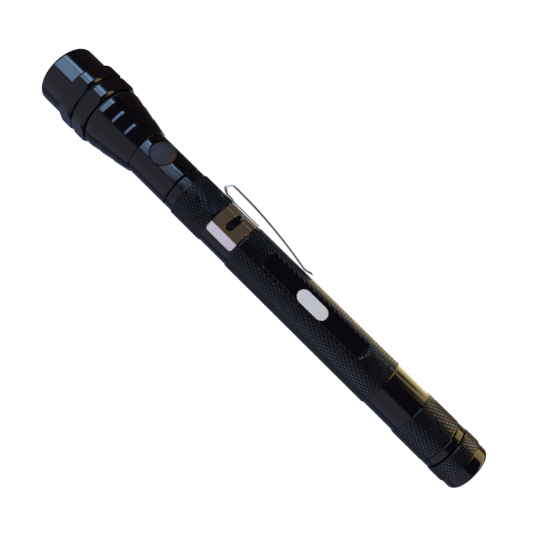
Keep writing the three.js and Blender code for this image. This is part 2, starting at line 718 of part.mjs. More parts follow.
/** The spring contact behind the cells: a disc with a raised middle. */
function rearContact() {
  const rear = rearContactRear + SLIDE_CLEARANCE;
  const raised = cellsRear - SEAT_CLEARANCE;
  const middle = REAR_CONTACT_RADIUS / 2;
  return turned([
    [rear, 0],
    [rear, REAR_CONTACT_RADIUS],
    [rear + CONTACT_THICKNESS, REAR_CONTACT_RADIUS],
    [raised, middle],
    [raised, 0],
  ], MAST_SIDES);
}

/** The tray under the switch: the part of a round bar that lies below the switch's floor. */
function switchTray() {
  const radius = HEAD_NECK_CAVITY - CLEARANCE;
  const top = SWITCH_TOP - SWITCH_HEIGHT - SEAT_CLEARANCE;
  const edge = Math.asin(top / radius);
  const shape = new THREE.Shape();
  shape.absarc(0, 0, radius, Math.PI - edge, 2 * Math.PI + edge, false);
  return along(shape, plugFront + CLEARANCE, bulkheadRear - CLEARANCE, SMALL_SIDES);
}

/** The switch: a square case with a round well for its plunger. */
function switchBody() {
  const size = SWITCH_WIDTH;
  const box = new THREE.BoxGeometry(size, size, SWITCH_HEIGHT);
  box.translate(buttonX, 0, SWITCH_TOP - SWITCH_HEIGHT / 2);
  const floor = SWITCH_TOP - SWITCH_WELL_DEPTH;
  const open = SWITCH_TOP + CLEARANCE;
  const radius = PLUNGER_RADIUS + CLEARANCE;
  const well = turnedOutward([[floor, 0], [floor, radius], [open, radius], [open, 0]], buttonX, SMALL_SIDES);
  return solid(box).subtract(solid(well));
}

function switchPlunger() {
  const low = SWITCH_TOP - PLUNGER_SINK;
  const high = buttonFlangeTop - BUTTON_FLANGE_THICKNESS - SEAT_CLEARANCE;
  const profile = [[low, 0], [low, PLUNGER_RADIUS], [high, PLUNGER_RADIUS], [high, 0]];
  return turnedOutward(profile, buttonX, SMALL_SIDES);
}

/** The rubber button: a flange under the wall, a straight skirt in the hole and a rounded top. */
function buttonCap() {
  const low = buttonFlangeTop - BUTTON_FLANGE_THICKNESS;
  const top = headNeckRadius + BUTTON_RISE;
  const shoulder = BUTTON_RADIUS - BUTTON_TOP_RADIUS;
  return turnedOutward([
    [low, 0],
    [low, buttonFlangeRadius],
    [buttonFlangeTop, buttonFlangeRadius],
    [buttonFlangeTop, BUTTON_RADIUS],
    ...arc(top - shoulder, BUTTON_TOP_RADIUS, shoulder, 90, 0, EDGE_STEPS),
    [top + BUTTON_CROWN, 0],
  ], buttonX, SMALL_SIDES);
}

// Handle
const handle = new THREE.Group();
add(handle, 'body_tube', bodyTube(), ANODISED);
add(handle, 'pocket_clip', pocketClip(), CHROME).rotation.x = radians(CLIP_ANGLE);
add(handle, 'tail_cap', tailCap(), ANODISED);
add(handle, 'tail_magnet', rod(0, TAIL_MAGNET_LENGTH, TAIL_MAGNET_RADIUS, SMALL_SIDES), STEEL);

// Mast: sections and shoes from the outermost to the rod
const mast = new THREE.Group();
for (let index = 0; index < MAST_SECTIONS; index += 1) {
  const isRod = index === MAST_SECTIONS - 1;
  add(mast, `mast_section_${index + 1}`, isRod ? mastRod() : mastTube(index), CHROME);
  add(mast, `mast_shoe_${index + 1}`, mastShoe(index), BRASS);
}

// Neck: ferrules and links from the mast to the head
const neck = new THREE.Group();
add(neck, 'neck_rear_ferrule', neckRearFerrule(), CHROME);
for (let index = 0; index < NECK_LINKS; index += 1) {
  add(neck, `neck_link_${index + 1}`, neckLink(), CHROME).position.x = rearHinge + index * NECK_PITCH;
}
add(neck, 'neck_front_ferrule', neckFrontFerrule(), CHROME).position.x = frontHinge;

// Head: shell, light and cells
const head = new THREE.Group();
add(head, 'head_plug', headPlug(), ANODISED);
add(head, 'head_body', headBody(), ANODISED);
add(head, 'head_bezel', headBezel(), ANODISED);
add(head, 'bezel_o_ring', bezelRing(), RUBBER);
add(head, 'led_plate', ledPlate(), BLACK_PLASTIC);
add(head, 'led_board', rod(boardRear, boardFront, bezelBore - CLEARANCE, MAST_SIDES), BOARD_GREEN);
for (let index = 0; index < LED_COUNT; index += 1) {
  const spoke = new THREE.Group();
  spoke.rotation.x = radians(index * LED_STEP);
  add(spoke, `led_${index + 1}`, led(), LED_CLEAR).position.z = LED_CIRCLE;
  head.add(spoke);
}
const magnetRear = boardFront + SEAT_CLEARANCE;
add(head, 'head_magnet', rod(magnetRear, rim - HEAD_MAGNET_SINK, HEAD_MAGNET_RADIUS, SMALL_SIDES), STEEL);
const frontContactRear = frontContactFront - CONTACT_THICKNESS;
const frontContact = rod(frontContactRear, frontContactFront, FRONT_CONTACT_RADIUS, SMALL_SIDES);
add(head, 'front_contact', frontContact, BRASS);
for (let index = 0; index < CELL_COUNT; index += 1) {
  const cell = add(head, `cell_${index + 1}`, buttonCell(), STEEL);
  cell.position.x = cellsFront - CELL_HEIGHT - index * cellPitch;
}
add(head, 'cell_sleeve', cellSleeve(), BLACK_PLASTIC);
add(head, 'rear_contact', rearContact(), BRASS);

// Switch and button, which face out of the side of the head
const control = new THREE.Group();
control.rotation.x = radians(BUTTON_ANGLE);
add(control, 'switch_tray', switchTray(), BLACK_PLASTIC);
add(control, 'switch_body', switchBody(), BLACK_PLASTIC);
add(control, 'switch_plunger', switchPlunger(), BLACK_PLASTIC);
add(control, 'button_cap', buttonCap(), RUBBER);
head.add(control);

const flashlight = new THREE.Group();
flashlight.add(handle, mast, neck, head);

export default flashlight;
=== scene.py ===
"""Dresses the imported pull-out flashlight: turned and knurled surfaces, finishes, light and camera."""

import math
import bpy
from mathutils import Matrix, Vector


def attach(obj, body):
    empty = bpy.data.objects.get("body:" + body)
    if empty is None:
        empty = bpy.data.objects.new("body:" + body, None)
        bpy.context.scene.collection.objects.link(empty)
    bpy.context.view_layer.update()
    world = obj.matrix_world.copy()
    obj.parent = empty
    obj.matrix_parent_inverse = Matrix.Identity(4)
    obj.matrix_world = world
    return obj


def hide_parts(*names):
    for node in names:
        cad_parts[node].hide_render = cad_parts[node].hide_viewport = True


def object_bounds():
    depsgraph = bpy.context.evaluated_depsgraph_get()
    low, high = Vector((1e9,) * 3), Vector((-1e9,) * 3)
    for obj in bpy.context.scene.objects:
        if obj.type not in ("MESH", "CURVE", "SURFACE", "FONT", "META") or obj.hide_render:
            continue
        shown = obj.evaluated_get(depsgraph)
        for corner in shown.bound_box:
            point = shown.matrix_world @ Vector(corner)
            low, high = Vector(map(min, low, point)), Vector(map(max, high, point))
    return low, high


bl_info = {
    "name": "Retractable flashlight",
    "version": (1, 0, 0),
    "blender": (4, 5, 0),
    "location": "View3D > Sidebar > Flashlight",
    "description": "Visible surfaces, finishes and stage of a pull-out flashlight",
    "category": "Object",
}

import bpy
import numpy as np
from bpy.props import FloatProperty
from bpy.props import FloatVectorProperty
from bpy.props import IntProperty
from bpy.props import PointerProperty
from mathutils import Matrix
from mathutils import Vector

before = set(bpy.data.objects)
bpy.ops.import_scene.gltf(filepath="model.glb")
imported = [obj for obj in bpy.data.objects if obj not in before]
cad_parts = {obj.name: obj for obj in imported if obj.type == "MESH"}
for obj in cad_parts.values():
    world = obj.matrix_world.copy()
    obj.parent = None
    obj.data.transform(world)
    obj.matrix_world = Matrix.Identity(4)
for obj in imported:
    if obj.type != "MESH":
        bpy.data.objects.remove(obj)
CAD_LOW, CAD_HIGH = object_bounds()

# Lengths are in millimetres until a mesh is made
MM = 0.001
WELD = 1e-5
TINY = 1e-9
QUARTER_TURN = math.pi / 2
FULL_TURN = 2 * math.pi

# A rounded corner: its largest share of a side, and where a point past it holds the side flat
TRIM_SHARE = 0.4
HOLD = 1.15
HOLD_STEP = 0.05

# Parts of a knurl's grid between a groove and the middle of a crest, and the groove's share of them
KNURL_STEPS = 3
GROOVE_SHARE = 1 / 3

# Stations along the axis, from the tail to the rim
TAIL_END = 3.9
TAIL_GRIP = 9.0
TAIL_PLUG = 13.0
TUBE_REAR = 9.3
REAR_BAND = 11.7
REAR_GRIP = 23.5
WAIST = 34.9
MAIN_GRIP = 92.3
CLIP_SEAT = 103.1
FRONT_GRIP = 115.35
MOUTH = 118.1
HEAD_REAR = 118.4
TAPER_REAR = 134.0
TAPER_FRONT = 149.6
BEZEL_REAR = 150.6
HEX_GROOVE_REAR = 155.6
HEX_GROOVE_FRONT = 156.2
HEX_FRONT = 161.2
RIM = 170.0

# Radii and edges of the handle; BAND_ROW is the step from a grip to the next row of a plain band
BORE = 6.2
GRIP_RADIUS = 7.75
REAR_BAND_RADIUS = 7.65
WAIST_RADIUS = 7.45
SEAT_RADIUS = 7.47
MOUTH_RADIUS = 7.4
MOUTH_BORE = 5.85
MOUTH_CHAMFER = 0.2
EDGE_DROP = 0.4
EDGE_STEPS = 5
GRIP_LAND = 0.5
LAND_DROP = 0.03
BAND_ROW = 0.1

# Tail cap
TAIL_END_RADIUS = 7.5
TAIL_GRIP_RADIUS = 7.85
TAIL_KNURL_SHARE = 0.85
TAIL_ROUNDING = 1.5
TAIL_ROUNDING_STEPS = 10
TAIL_EDGE = 0.3
TAIL_EDGE_STEPS = 4
POCKET_RADIUS = 4.3
POCKET_DEPTH = 3.1
POCKET_CHAMFER = 0.15
POCKET_LAND = 0.4
TAIL_PLUG_RADIUS = 5.9
TAIL_PLUG_CHAMFER = 0.3

# Milled flat on the main grip, and the label on it, whose shares are of its half width
FLAT_ANGLE = math.radians(34)
FLAT_REAR = 45.6
FLAT_FRONT = 83.1
FLAT_HEIGHT = 7.05
FLAT_SLOPE = 0.4
FLAT_LEAST_COSINE = 0.5
LABEL_SHIFT = 0.65
LABEL_SINK = 0.05
LABEL_TOP = 0.035
LABEL_BEVEL = 0.015
LABEL_TOP_SHARE = 0.985
LABEL_MIDDLE_SHARE = 0.5
LABEL_SPREAD = 4
LABEL_SIDES = 96

# Head
NECK_RADIUS = 7.425
NECK_CAVITY = 6.4
BULKHEAD_REAR = 137.0
BULKHEAD_FRONT = 138.6
CELL_BORE = 6.9
SPIGOT_RADIUS = 8.6
SPIGOT_FRONT = 157.4
TAPER_OUTLINE = (
    (TAPER_REAR, 7.875), (138.9, 8.857), (139.8, 8.857), (143.8, 9.659),
    (144.7, 9.659), (147.9, 10.3), (TAPER_FRONT, 10.3),
)
HEAD_EDGE = 0.13
HEAD_REAR_EDGE = 0.3
CAVITY_EDGE = 0.2
HEAD_SIDES = 192
HOLE_HALF_SQUARE = 5.6
HOLE_REACH = 26
HOLE_RINGS = 8

# Bezel and the ring behind it
HEX_FLAT = 10.4
HEX_CORNER = 11.2
HEX_CHAMFER = 0.7
HEX_GROOVE = 10.0
HEX_SIDES = 6
FLAT_COLUMNS = 24
CORNER_COLUMNS = 16
BEZEL_RADIUS = 10.1
BEZEL_BORE = 8.9
BEZEL_EDGE = 0.12
BEZEL_EDGE_STEPS = 6
BEZEL_PARTS = 2
LIP_RADIUS = 8.1
LIP_REAR = 168.8
BEZEL_ROUNDING = 1.0
BEZEL_ROUNDING_STEPS = 12
RING_MIDDLE = 9.3
RING_WIRE = 0.46
RING_STEPS = 20
RING_SIDES = 120

# Button
BUTTON_ANGLE = math.radians(38)
BUTTON_X = 127.8
BUTTON_RADIUS = 4.0
BUTTON_TOP = 8.425
BUTTON_CROWN = 0.15
BUTTON_DOME = 1.3
BUTTON_DOME_POWER = 2.2
BUTTON_SHOULDER = 0.25
BUTTON_ROWS = 61
BUTTON_SIDES = 96
RELIEF_HEIGHT = 0.012
RELIEF_PITCH = 0.36
RELIEF_INNER = 0.5
RELIEF_MARGIN = 0.6
BUTTON_HOLE = 4.3
BUTTON_FLANGE = 4.65
BUTTON_FLANGE_TOP = 3.9
BUTTON_FLANGE_LOW = 3.1

# Pocket clip, drawn facing up and then turned to its angle
CLIP_ANGLE = math.radians(95.5)
CLIP_REAR = 92.6
CLIP_FRONT = 102.8
CLIP_INNER = 7.57
CLIP_OUTER = 8.17
CLIP_HALF_ANGLE = math.radians(112)
CLIP_SLOT_START = math.radians(46)
CLIP_SLOT_END = math.radians(74)
CLIP_SLOT_HALF = 1.3
CLIP_CORNER = 1.0
CLIP_CORNER_STEPS = 8
CLIP_THICKNESS = 0.6
CLIP_WIDTH = 5.0
CLIP_BEVEL = 0.1
CLIP_BEVEL_ANGLE = math.radians(50)
BAND_ACROSS = 25
BAND_ALONG = 30
BAND_END = 21
BAND_LAYERS = 9
TONGUE_REAR = 101.8
TONGUE_FRONT = 104.6
TONGUE_FADE = 104.9
TONGUE_SINK = 0.3
TONGUE_HEIGHT = 8.2
TONGUE_POINTS = 8
NOSE_X = 105.9
NOSE_RADIUS = 1.55
NOSE_LOW = 106.6
NOSE_TIP = 108.4
NOSE_TIP_RISE = 1.2
NOSE_HIGH = 106.9
NOSE_BEND = 1.0
NOSE_STEPS = 9
ARM_LENGTH = 31.4
ARM_CLEARANCE = 0.6
ARM_ROUND = 0.22
ARM_STEPS = 40
ARM_SIDES = 32
TOE_RADIUS = 3.0
TOE_ANGLE = math.radians(16)
TOE_LENGTH = 2.8
TOE_STEPS = 12
TOE_TIP_POINTS = 16

# Mast
MAST_RADII = (5.7, 4.9, 4.1, 3.3, 2.5, 1.7)
MAST_WALL = 0.3
MAST_REAR = 13.3
MAST_FRONT = 75.1
MAST_TIP = 80.0
MAST_LIP = 1.0
MAST_EDGE = 0.12
MAST_SIDES = 72
ROD_SIDES = 48
SLIDE_GAP = 0.15
SHOE_SEAT = 0.05
SHOE_RISE = 0.35
SHOE_FRONT = 17.3
SHOE_EDGE = 0.08
SHOE_GROOVE = 0.3
SHOE_GROOVE_DEPTH = 0.12

# Neck and the plug that holds it in the head
LINK_COUNT = 8
LINK_PITCH = 3.5
REAR_HINGE = 82.9
LINK_RADIUS = 3.0
LINK_EDGE = 0.3
LINK_RIM = 0.5
LINK_SHELL = 2.0
BALL_RADIUS = 1.95
BALL_STEM = 1.2
BALL_STEPS = 14
SOCKET_RADIUS = 2.2
NECK_SIDES = 64
FERRULE_REAR = 75.4
FERRULE_FRONT = 81.4
FERRULE_BORE_FRONT = 80.3
FERRULE_BORE = 1.85
FERRULE_EDGE = 0.08
SPIGOT_TIP_RADIUS = 2.0
SPIGOT_TIP_LENGTH = 6.2
PLUG_TIP = 113.2
PLUG_TIP_RADIUS = 3.2
PLUG_FRONT = 121.1
PLUG_BORE = 2.3
PLUG_BORE_FRONT = 119.4
PLUG_CONE_RADIUS = 5.3
PLUG_FLANGE = 6.1
PLUG_EDGE = 0.15
PLUG_SIDES = 96

# Light and magnets
LED_COUNT = 3
LED_CIRCLE = 5.3
LED_RADIUS = 2.4
LED_BASE = 163.9
LED_FLANGE = 2.75
LED_FLANGE_FRONT = 164.9
LED_DOME = 167.3
LED_DOME_STEPS = 16
LED_EDGE = 0.1
LED_SIDES = 48
CHIP_REAR_RADIUS = 0.75
CHIP_FRONT_RADIUS = 0.85
CHIP_FRONT = 165.4
CHIP_SIDES = 32
PLATE_FRONT = 168.5
COLLAR_RADIUS = 2.95
COLLAR_GAP = 0.05
COLLAR_TAPER = 0.25
COLLAR_SINK = 0.4
COLLAR_RISE = 0.22
COLLAR_EDGE = 0.08
COLLAR_SIDES = 64
MAGNET_RADIUS = 2.2
MAGNET_FACE = 169.7
MAGNET_EDGE = 0.25
TAIL_MAGNET_RADIUS = 4.0
TAIL_MAGNET_FRONT = 3.0
TAIL_MAGNET_EDGE = 0.3
MAGNET_SIDES = 64

# Inner pieces whose solids are shown as they are, by their finish
INNER_PIECES = {
    "moulded_black": ("led_plate", "cell_sleeve", "switch_tray", "switch_body", "switch_plunger"),
    "board_green": ("led_board",),
    "brass_turned": ("front_contact", "rear_contact"),
    "cell_steel": ("cell_1", "cell_2", "cell_3", "cell_4"),
}

# How much the grain's patches add to the smudges in a finish's roughness, and its relief in metres
PATCH_SHARE = 0.35
GRAIN_RELIEF = 2e-5

# Floor and room, in metres
FLOOR_HALF = 8.0
FLOOR_COLOUR = (0.8, 0.8, 0.8)
FLOOR_SEEN_COLOUR = (0.35, 0.35, 0.35)
FLOOR_GLOW = (0.93, 0.93, 0.93)
CARD_LIFT = 0.0001
ROOM_COLOUR = (1.0, 0.72, 0.5)

# Camera: its sensor in millimetres, and the nearest thing that it shows in metres
SENSOR_WIDTH = 36.0
NEAREST_VIEW = 0.005

# Soft panels, named like their settings: place, direction, sides along and across X, lights matt pieces
PANELS = (
    ("white_wall", (0.085, 0.525, 0.49), (0, -0.71, -0.7), (3.0, 1.38), True),
    ("near_window", (0.49, -0.495, 1.0), (0, 0, -1), (0.12, 0.87), True),
    ("far_window", (0.825, -0.495, 1.0), (0, 0, -1), (0.55, 0.87), True),
    ("side_window", (0.98, -1.25, 1.0), (0, 0, -1), (0.76, 0.5), False),
    ("warm_panel", (-0.34, -0.3, 0.045), (0, 1, 0), (0.58, 0.11), True),
)

# Cards on the floor that only mirrors see, glowing as painted reflections of the room's warm and cool
# sides and of gold light: name, ends along X, inner and outer Y, brightness
CARDS = (
    ("tan_card", (0.072, 1.5), (-0.0105, -1.5), (0.09, 0.06, 0.035)),
    ("gold_card", (0.018, 0.072), (-0.0105, -0.03), (3.6, 3.0, 1.4)),
    ("brown_card", (0.018, 0.072), (-0.03, -1.5), (0.45, 0.33, 0.17)),
    ("shade_card", (-1.0, 0.018), (-0.0105, -0.03), (0.3, 0.22, 0.12)),
    ("amber_card", (-1.0, 0.018), (-0.03, -0.3), (5.0, 3.5, 1.3)),
    ("slate_card", (-1.5, 1.5), (0.0105, 1.5), (0.15, 0.18, 0.3)),
)


def around(x, radius, angle):
    """Points at x along the axis and a radius from it; the angle leaves +Z and turns towards -Y."""
    parts = np.broadcast_arrays(x, -radius * np.sin(angle), radius * np.cos(angle))
    return np.stack(parts, axis=-1)


def facing(x, side, height, angle):
    """Points drawn facing +Z with a sideways offset, turned about the X axis by the angle."""
    y = side * np.cos(angle) - height * np.sin(angle)
    z = side * np.sin(angle) + height * np.cos(angle)
    return np.stack(np.broadcast_arrays(x, y, z), axis=-1)


def all_round(sides):
    """Evenly spaced angles of a full turn: 2 pi j / sides."""
    return FULL_TURN * np.arange(sides) / sides


def grid_faces(rows, columns, loop=False):
    """Quads between neighbours of a grid whose last column joins its first; loop joins the rows too."""
    index = np.arange(rows * columns).reshape(rows, columns)
    index = np.concatenate([index, index[:, :1]], axis=1)
    if loop:
        index = np.concatenate([index, index[:1]], axis=0)
    corners = [index[:-1, :-1], index[:-1, 1:], index[1:, 1:], index[1:, :-1]]
    return np.stack(corners, axis=-1)


def soften(profile, trim, steps=5, ring=False):
    """Round each corner of an outline: a quadratic curve from a trim before it to a trim after it.

    The curve is (1-s)^2 a + 2 s (1-s) b + s^2 c, with b the corner, and the trim is kept below
    TRIM_SHARE of either neighbouring side. A point before and after each curve, HOLD trims from the
    corner, keeps the sides flat in their shading. An open outline keeps its two ends.
    """
    points = np.asarray(profile, float)
    before = np.roll(points, 1, axis=0) - points
    after = np.roll(points, -1, axis=0) - points
    reach = [np.linalg.norm(side, axis=1, keepdims=True) for side in (before, after)]
    cut = np.minimum(trim, TRIM_SHARE * np.minimum(*reach))
    to_start = before / reach[0] * cut
    to_end = after / reach[1] * cut
    share = np.linspace(0, 1, steps)[None, :, None]
    curve = points[:, None] + (1 - share) ** 2 * to_start[:, None] + share ** 2 * to_end[:, None]
    hold_before = points + HOLD * to_start
    hold_after = points + HOLD * to_end
    curve = np.concatenate([hold_before[:, None], curve, hold_after[:, None]], axis=1)
    if ring:
        return curve.reshape(-1, 2)
    inner = curve[1:-1].reshape(-1, 2)
    return np.concatenate([points[:1], inner, points[-1:]])


def arc(x, y, radius, start, end, steps):
    """Points (x, y) along a circle's arc, with its angles from the first axis."""
    angle = np.linspace(start, end, steps + 1)
    return np.stack([x + radius * np.cos(angle), y + radius * np.sin(angle)], axis=-1)


def turned(profile, sides, loop=False):
    """A profile of (x, r) turned round the axis: row i, column j is at angle 2 pi j / sides."""
    profile = np.asarray(profile, float)
    points = around(profile[:, :1], profile[:, 1:], all_round(sides))
    return points, grid_faces(len(profile), sides, loop)


def disc(rear, front, radius, edge):
    """A solid disc with rounded edges, turned round the axis between two stations."""
    outline = [[rear, 0], [rear, radius], [front, radius], [front, 0]]
    return turned(soften(outline, edge), MAGNET_SIDES)


def saw(value):
    """A wave that rises from 0 at whole numbers to 1 halfway between them."""
    return 1 - np.abs(2 * np.mod(value, 1) - 1)


def plain_rows(profile, sides):
    """Rows of a turned outline with the same radius all round and no knurl."""
    profile = np.asarray(profile, float)
    radius = np.repeat(profile[:, 1:], sides, axis=1)
    return profile[:, 0], radius, np.ones_like(radius), np.full(len(profile), -1)


def knurl_rows(rear, front, radius, sides, pitch, depth):
    """Rows of a diamond knurl: the lower of two slanted saw waves, cut off flat at its crests.

    With i rows and j columns counted in parts of half a diamond, n of them to each half, the waves are
    saw((i+j) / 2n) and saw((i-j) / 2n). The surface lies depth below the radius where the lower one
    is 0, and reaches the radius where it passes GROOVE_SHARE.
    """
    parts = 2 * KNURL_STEPS
    count = int(round((front - rear) / pitch * parts))
    row = np.arange(count + 1)
    column = np.arange(sides)
    rise = np.minimum(saw((row[:, None] + column) / parts), saw((row[:, None] - column) / parts))
    crest = np.minimum(rise / GROOVE_SHARE, 1)
    x = rear + (front - rear) * row / count
    return x, radius - depth * (1 - crest), crest, row


def knurled(parts, sides, loop=False):
    """Join plain and knurled rows to one grid and cut the knurl's quads along its grooves."""
    x, radius, crest, lattice = (np.concatenate(group) for group in zip(*parts))
    points = around(x[:, None], radius, all_round(sides))
    cells = grid_faces(len(x), sides, loop)
    following = np.roll(lattice, -1)[:len(cells)]
    first = lattice[:len(cells)]
    cut = (first >= 0) & (following == first + 1)
    plain = cells[~cut].reshape(-1, 4)
    a, b, c, d = np.moveaxis(cells[cut].reshape(-1, 4), 1, 0)
    half_diamonds = first[cut][:, None] // KNURL_STEPS + np.arange(sides) // KNURL_STEPS
    odd = (half_diamonds % 2 == 1).reshape(-1)
    one = np.where(odd, [a, b, d, d], [a, b, c, c]).T
    two = np.where(odd, [b, c, d, d], [a, c, d, d]).T
    return points, np.concatenate([plain, one, two]), crest


def polygons(faces):
    """Faces as lists, where a quad with a repeated corner becomes a triangle and a line is dropped."""
    same = faces == np.roll(faces, -1, axis=1)
    lost = same.sum(axis=1)
    whole = faces[lost == 0]
    cut = faces[lost == 1]
    triangles = cut[~same[lost == 1]].reshape(-1, 3)
    return whole.tolist() + triangles.tolist()


def flipped(sheet):
    """A grid with its faces turned round."""
    points, faces = sheet
    return points, faces[..., ::-1]


def outwards(shell):
    """A shell with its faces outwards: the cones from the origin to them add up to a positive volume."""
    points = shell[0].reshape(-1, 3)
    faces = shell[1].reshape(-1, 4)
    a, b, c, d = (points[faces[:, corner]] for corner in range(4))
    six_volumes = np.cross(a, b) * c + np.cross(a, c) * d
    return flipped((points, faces)) if six_volumes.sum() < 0 else (points, faces)


def joined(sheets):
    """Several grids as one: their points in a row, and their faces with numbers that count on."""
    points = [sheet[0].reshape(-1, 3) for sheet in sheets]
    starts = np.cumsum([0] + [len(part) for part in points])
    faces = [sheet[1].reshape(-1, 4) + start for sheet, start in zip(sheets, starts)]
    return np.concatenate(points), np.concatenate(faces)


def put(name, data):
    """An object of this mesh, lamp or camera, linked to the scene."""
    obj = bpy.data.objects.new(name, data)
    bpy.context.scene.collection.objects.link(obj)
    return obj


def give_grooves(mesh, crest, groove):
    """Give the groove's finish to every face with a corner whose crest is below 1."""
    mesh.materials.append(groove)
    corners = np.empty(len(mesh.loops), int)
    starts = np.empty(len(mesh.polygons), int)
    mesh.loops.foreach_get("vertex_index", corners)
    mesh.polygons.foreach_get("loop_start", starts)
    lowest = np.minimum.reduceat(crest[corners], starts)
    mesh.polygons.foreach_set("material_index", (lowest < 1).astype(np.int32))


def piece(name, shells, body, material, nodes=(), sharp=30, crest=None, groove=None):
    """Weld grids of points to one mesh with its faces outwards and put it on its body.

    shells is a list of (points, faces), each closed by itself or together with the next. sharp is the
    angle in degrees past which an edge is hard. crest is 1 for the points of the one shell that lie on
    its outer surface; faces with a point below that take the groove's finish.
    """
    points, faces = joined([outwards(shell) for shell in shells])
    keys = np.round(points / WELD).astype(np.int64)
    _, kept, place = np.unique(keys, axis=0, return_index=True, return_inverse=True)
    mesh = bpy.data.meshes.new(name)
    mesh.from_pydata((points[kept] * MM).tolist(), [], polygons(place.reshape(-1)[faces]))
    mesh.validate()
    mesh.shade_smooth()
    mesh.set_sharp_from_angle(angle=math.radians(sharp))
    mesh.materials.append(material)
    if groove is not None:
        give_grooves(mesh, crest.reshape(-1)[kept], groove)
    obj = put(name, mesh)
    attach(obj, body)
    if nodes:
        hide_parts(*nodes)
    return obj


def new_material(name):
    """A new material and its node tree."""
    material = bpy.data.materials.new(name)
    material.use_nodes = True
    return material, material.node_tree


def add_node(tree, kind, **settings):
    """A node with its settings; a socket's value is given under the socket's name in inputs."""
    node = tree.nodes.new(kind)
    inputs = settings.pop("inputs", {})
    for key, value in settings.items():
        setattr(node, key, value)
    for key, value in inputs.items():
        node.inputs[key].default_value = value
    return node


def wire(tree, *pairs):
    """Link sockets: each pair is an output and the input that it feeds."""
    for source, target in pairs:
        tree.links.new(source, target)


def new_group(name, scale, outputs):
    """An empty shader node group with a scale as its input and values as its outputs."""
    tree = bpy.data.node_groups.new(name, "ShaderNodeTree")
    socket = tree.interface.new_socket(name="Scale", in_out="INPUT", socket_type="NodeSocketFloat")
    socket.default_value = scale
    for label in outputs:
        tree.interface.new_socket(name=label, in_out="OUTPUT", socket_type="NodeSocketFloat")
    return tree, tree.nodes.new("NodeGroupInput"), tree.nodes.new("NodeGroupOutput")


def grain_group():
    """Fine grain: noise in object space, one scale for the grain and a tenth of it for its patches."""
    tree, entry, leave = new_group("fine_grain", 3000.0, ["Grain", "Patch"])
    place = add_node(tree, "ShaderNodeTexCoord")
    fine = add_node(tree, "ShaderNodeTexNoise", inputs={"Detail": 3.0, "Roughness": 0.6})
    broad = add_node(tree, "ShaderNodeTexNoise", inputs={"Detail": 2.0})
    tenth = add_node(tree, "ShaderNodeMath", operation="MULTIPLY", inputs={1: 0.1})
    wire(
        tree,
        (place.outputs["Object"], fine.inputs["Vector"]),
        (place.outputs["Object"], broad.inputs["Vector"]),
        (entry.outputs["Scale"], fine.inputs["Scale"]),
        (entry.outputs["Scale"], tenth.inputs[0]),
        (tenth.outputs[0], broad.inputs["Scale"]),
        (fine.outputs["Fac"], leave.inputs["Grain"]),
        (broad.outputs["Fac"], leave.inputs["Patch"]),
    )
    return tree


def turning_group():
    """Turning marks: noise that changes along the axis only, as a lathe tool leaves it."""
    tree, entry, leave = new_group("turning_marks", 6000.0, ["Mark"])
    place = add_node(tree, "ShaderNodeTexCoord")
    split = add_node(tree, "ShaderNodeSeparateXYZ")
    noise = add_node(tree, "ShaderNodeTexNoise", noise_dimensions="1D", inputs={"Detail": 4.0})
    wire(
        tree,
        (place.outputs["Object"], split.inputs[0]),
        (split.outputs["X"], noise.inputs["W"]),
        (entry.outputs["Scale"], noise.inputs["Scale"]),
        (noise.outputs["Fac"], leave.inputs["Mark"]),
    )
    return tree


def smudge_group():
    """Handling marks: soft warped clouds, the upper part of a noise in object space."""
    tree, entry, leave = new_group("handling_marks", 90.0, ["Smudge"])
    place = add_node(tree, "ShaderNodeTexCoord")
    cloud = add_node(tree, "ShaderNodeTexNoise", inputs={"Detail": 5.0, "Distortion": 0.8})
    ramp = add_node(
        tree, "ShaderNodeMapRange", interpolation_type="SMOOTHSTEP",
        inputs={"From Min": 0.42, "From Max": 0.68},
    )
    wire(
        tree,
        (place.outputs["Object"], cloud.inputs["Vector"]),
        (entry.outputs["Scale"], cloud.inputs["Scale"]),
        (cloud.outputs["Fac"], ramp.inputs["Value"]),
        (ramp.outputs["Result"], leave.inputs["Smudge"]),
    )
    return tree


GROUP_MAKERS = {
    "fine_grain": grain_group,
    "turning_marks": turning_group,
    "handling_marks": smudge_group,
}


def place_group(tree, name, **values):
    """A node group in a material, with its own values. The group is built the first time."""
    group = bpy.data.node_groups.get(name) or GROUP_MAKERS[name]()
    return add_node(tree, "ShaderNodeGroup", node_tree=group, inputs=values)


def shaded(colour, factor):
    """A colour with each of its parts times a factor."""
    return tuple(factor * part for part in colour)


def mixed(tree, share, first, second):
    """A colour mixed from two plain colours by a share that changes over the surface."""
    mix = add_node(
        tree, "ShaderNodeMix", data_type="RGBA", inputs={"A": (*first, 1), "B": (*second, 1)},
    )
    wire(tree, (share, mix.inputs["Factor"]))
    return mix.outputs["Result"]


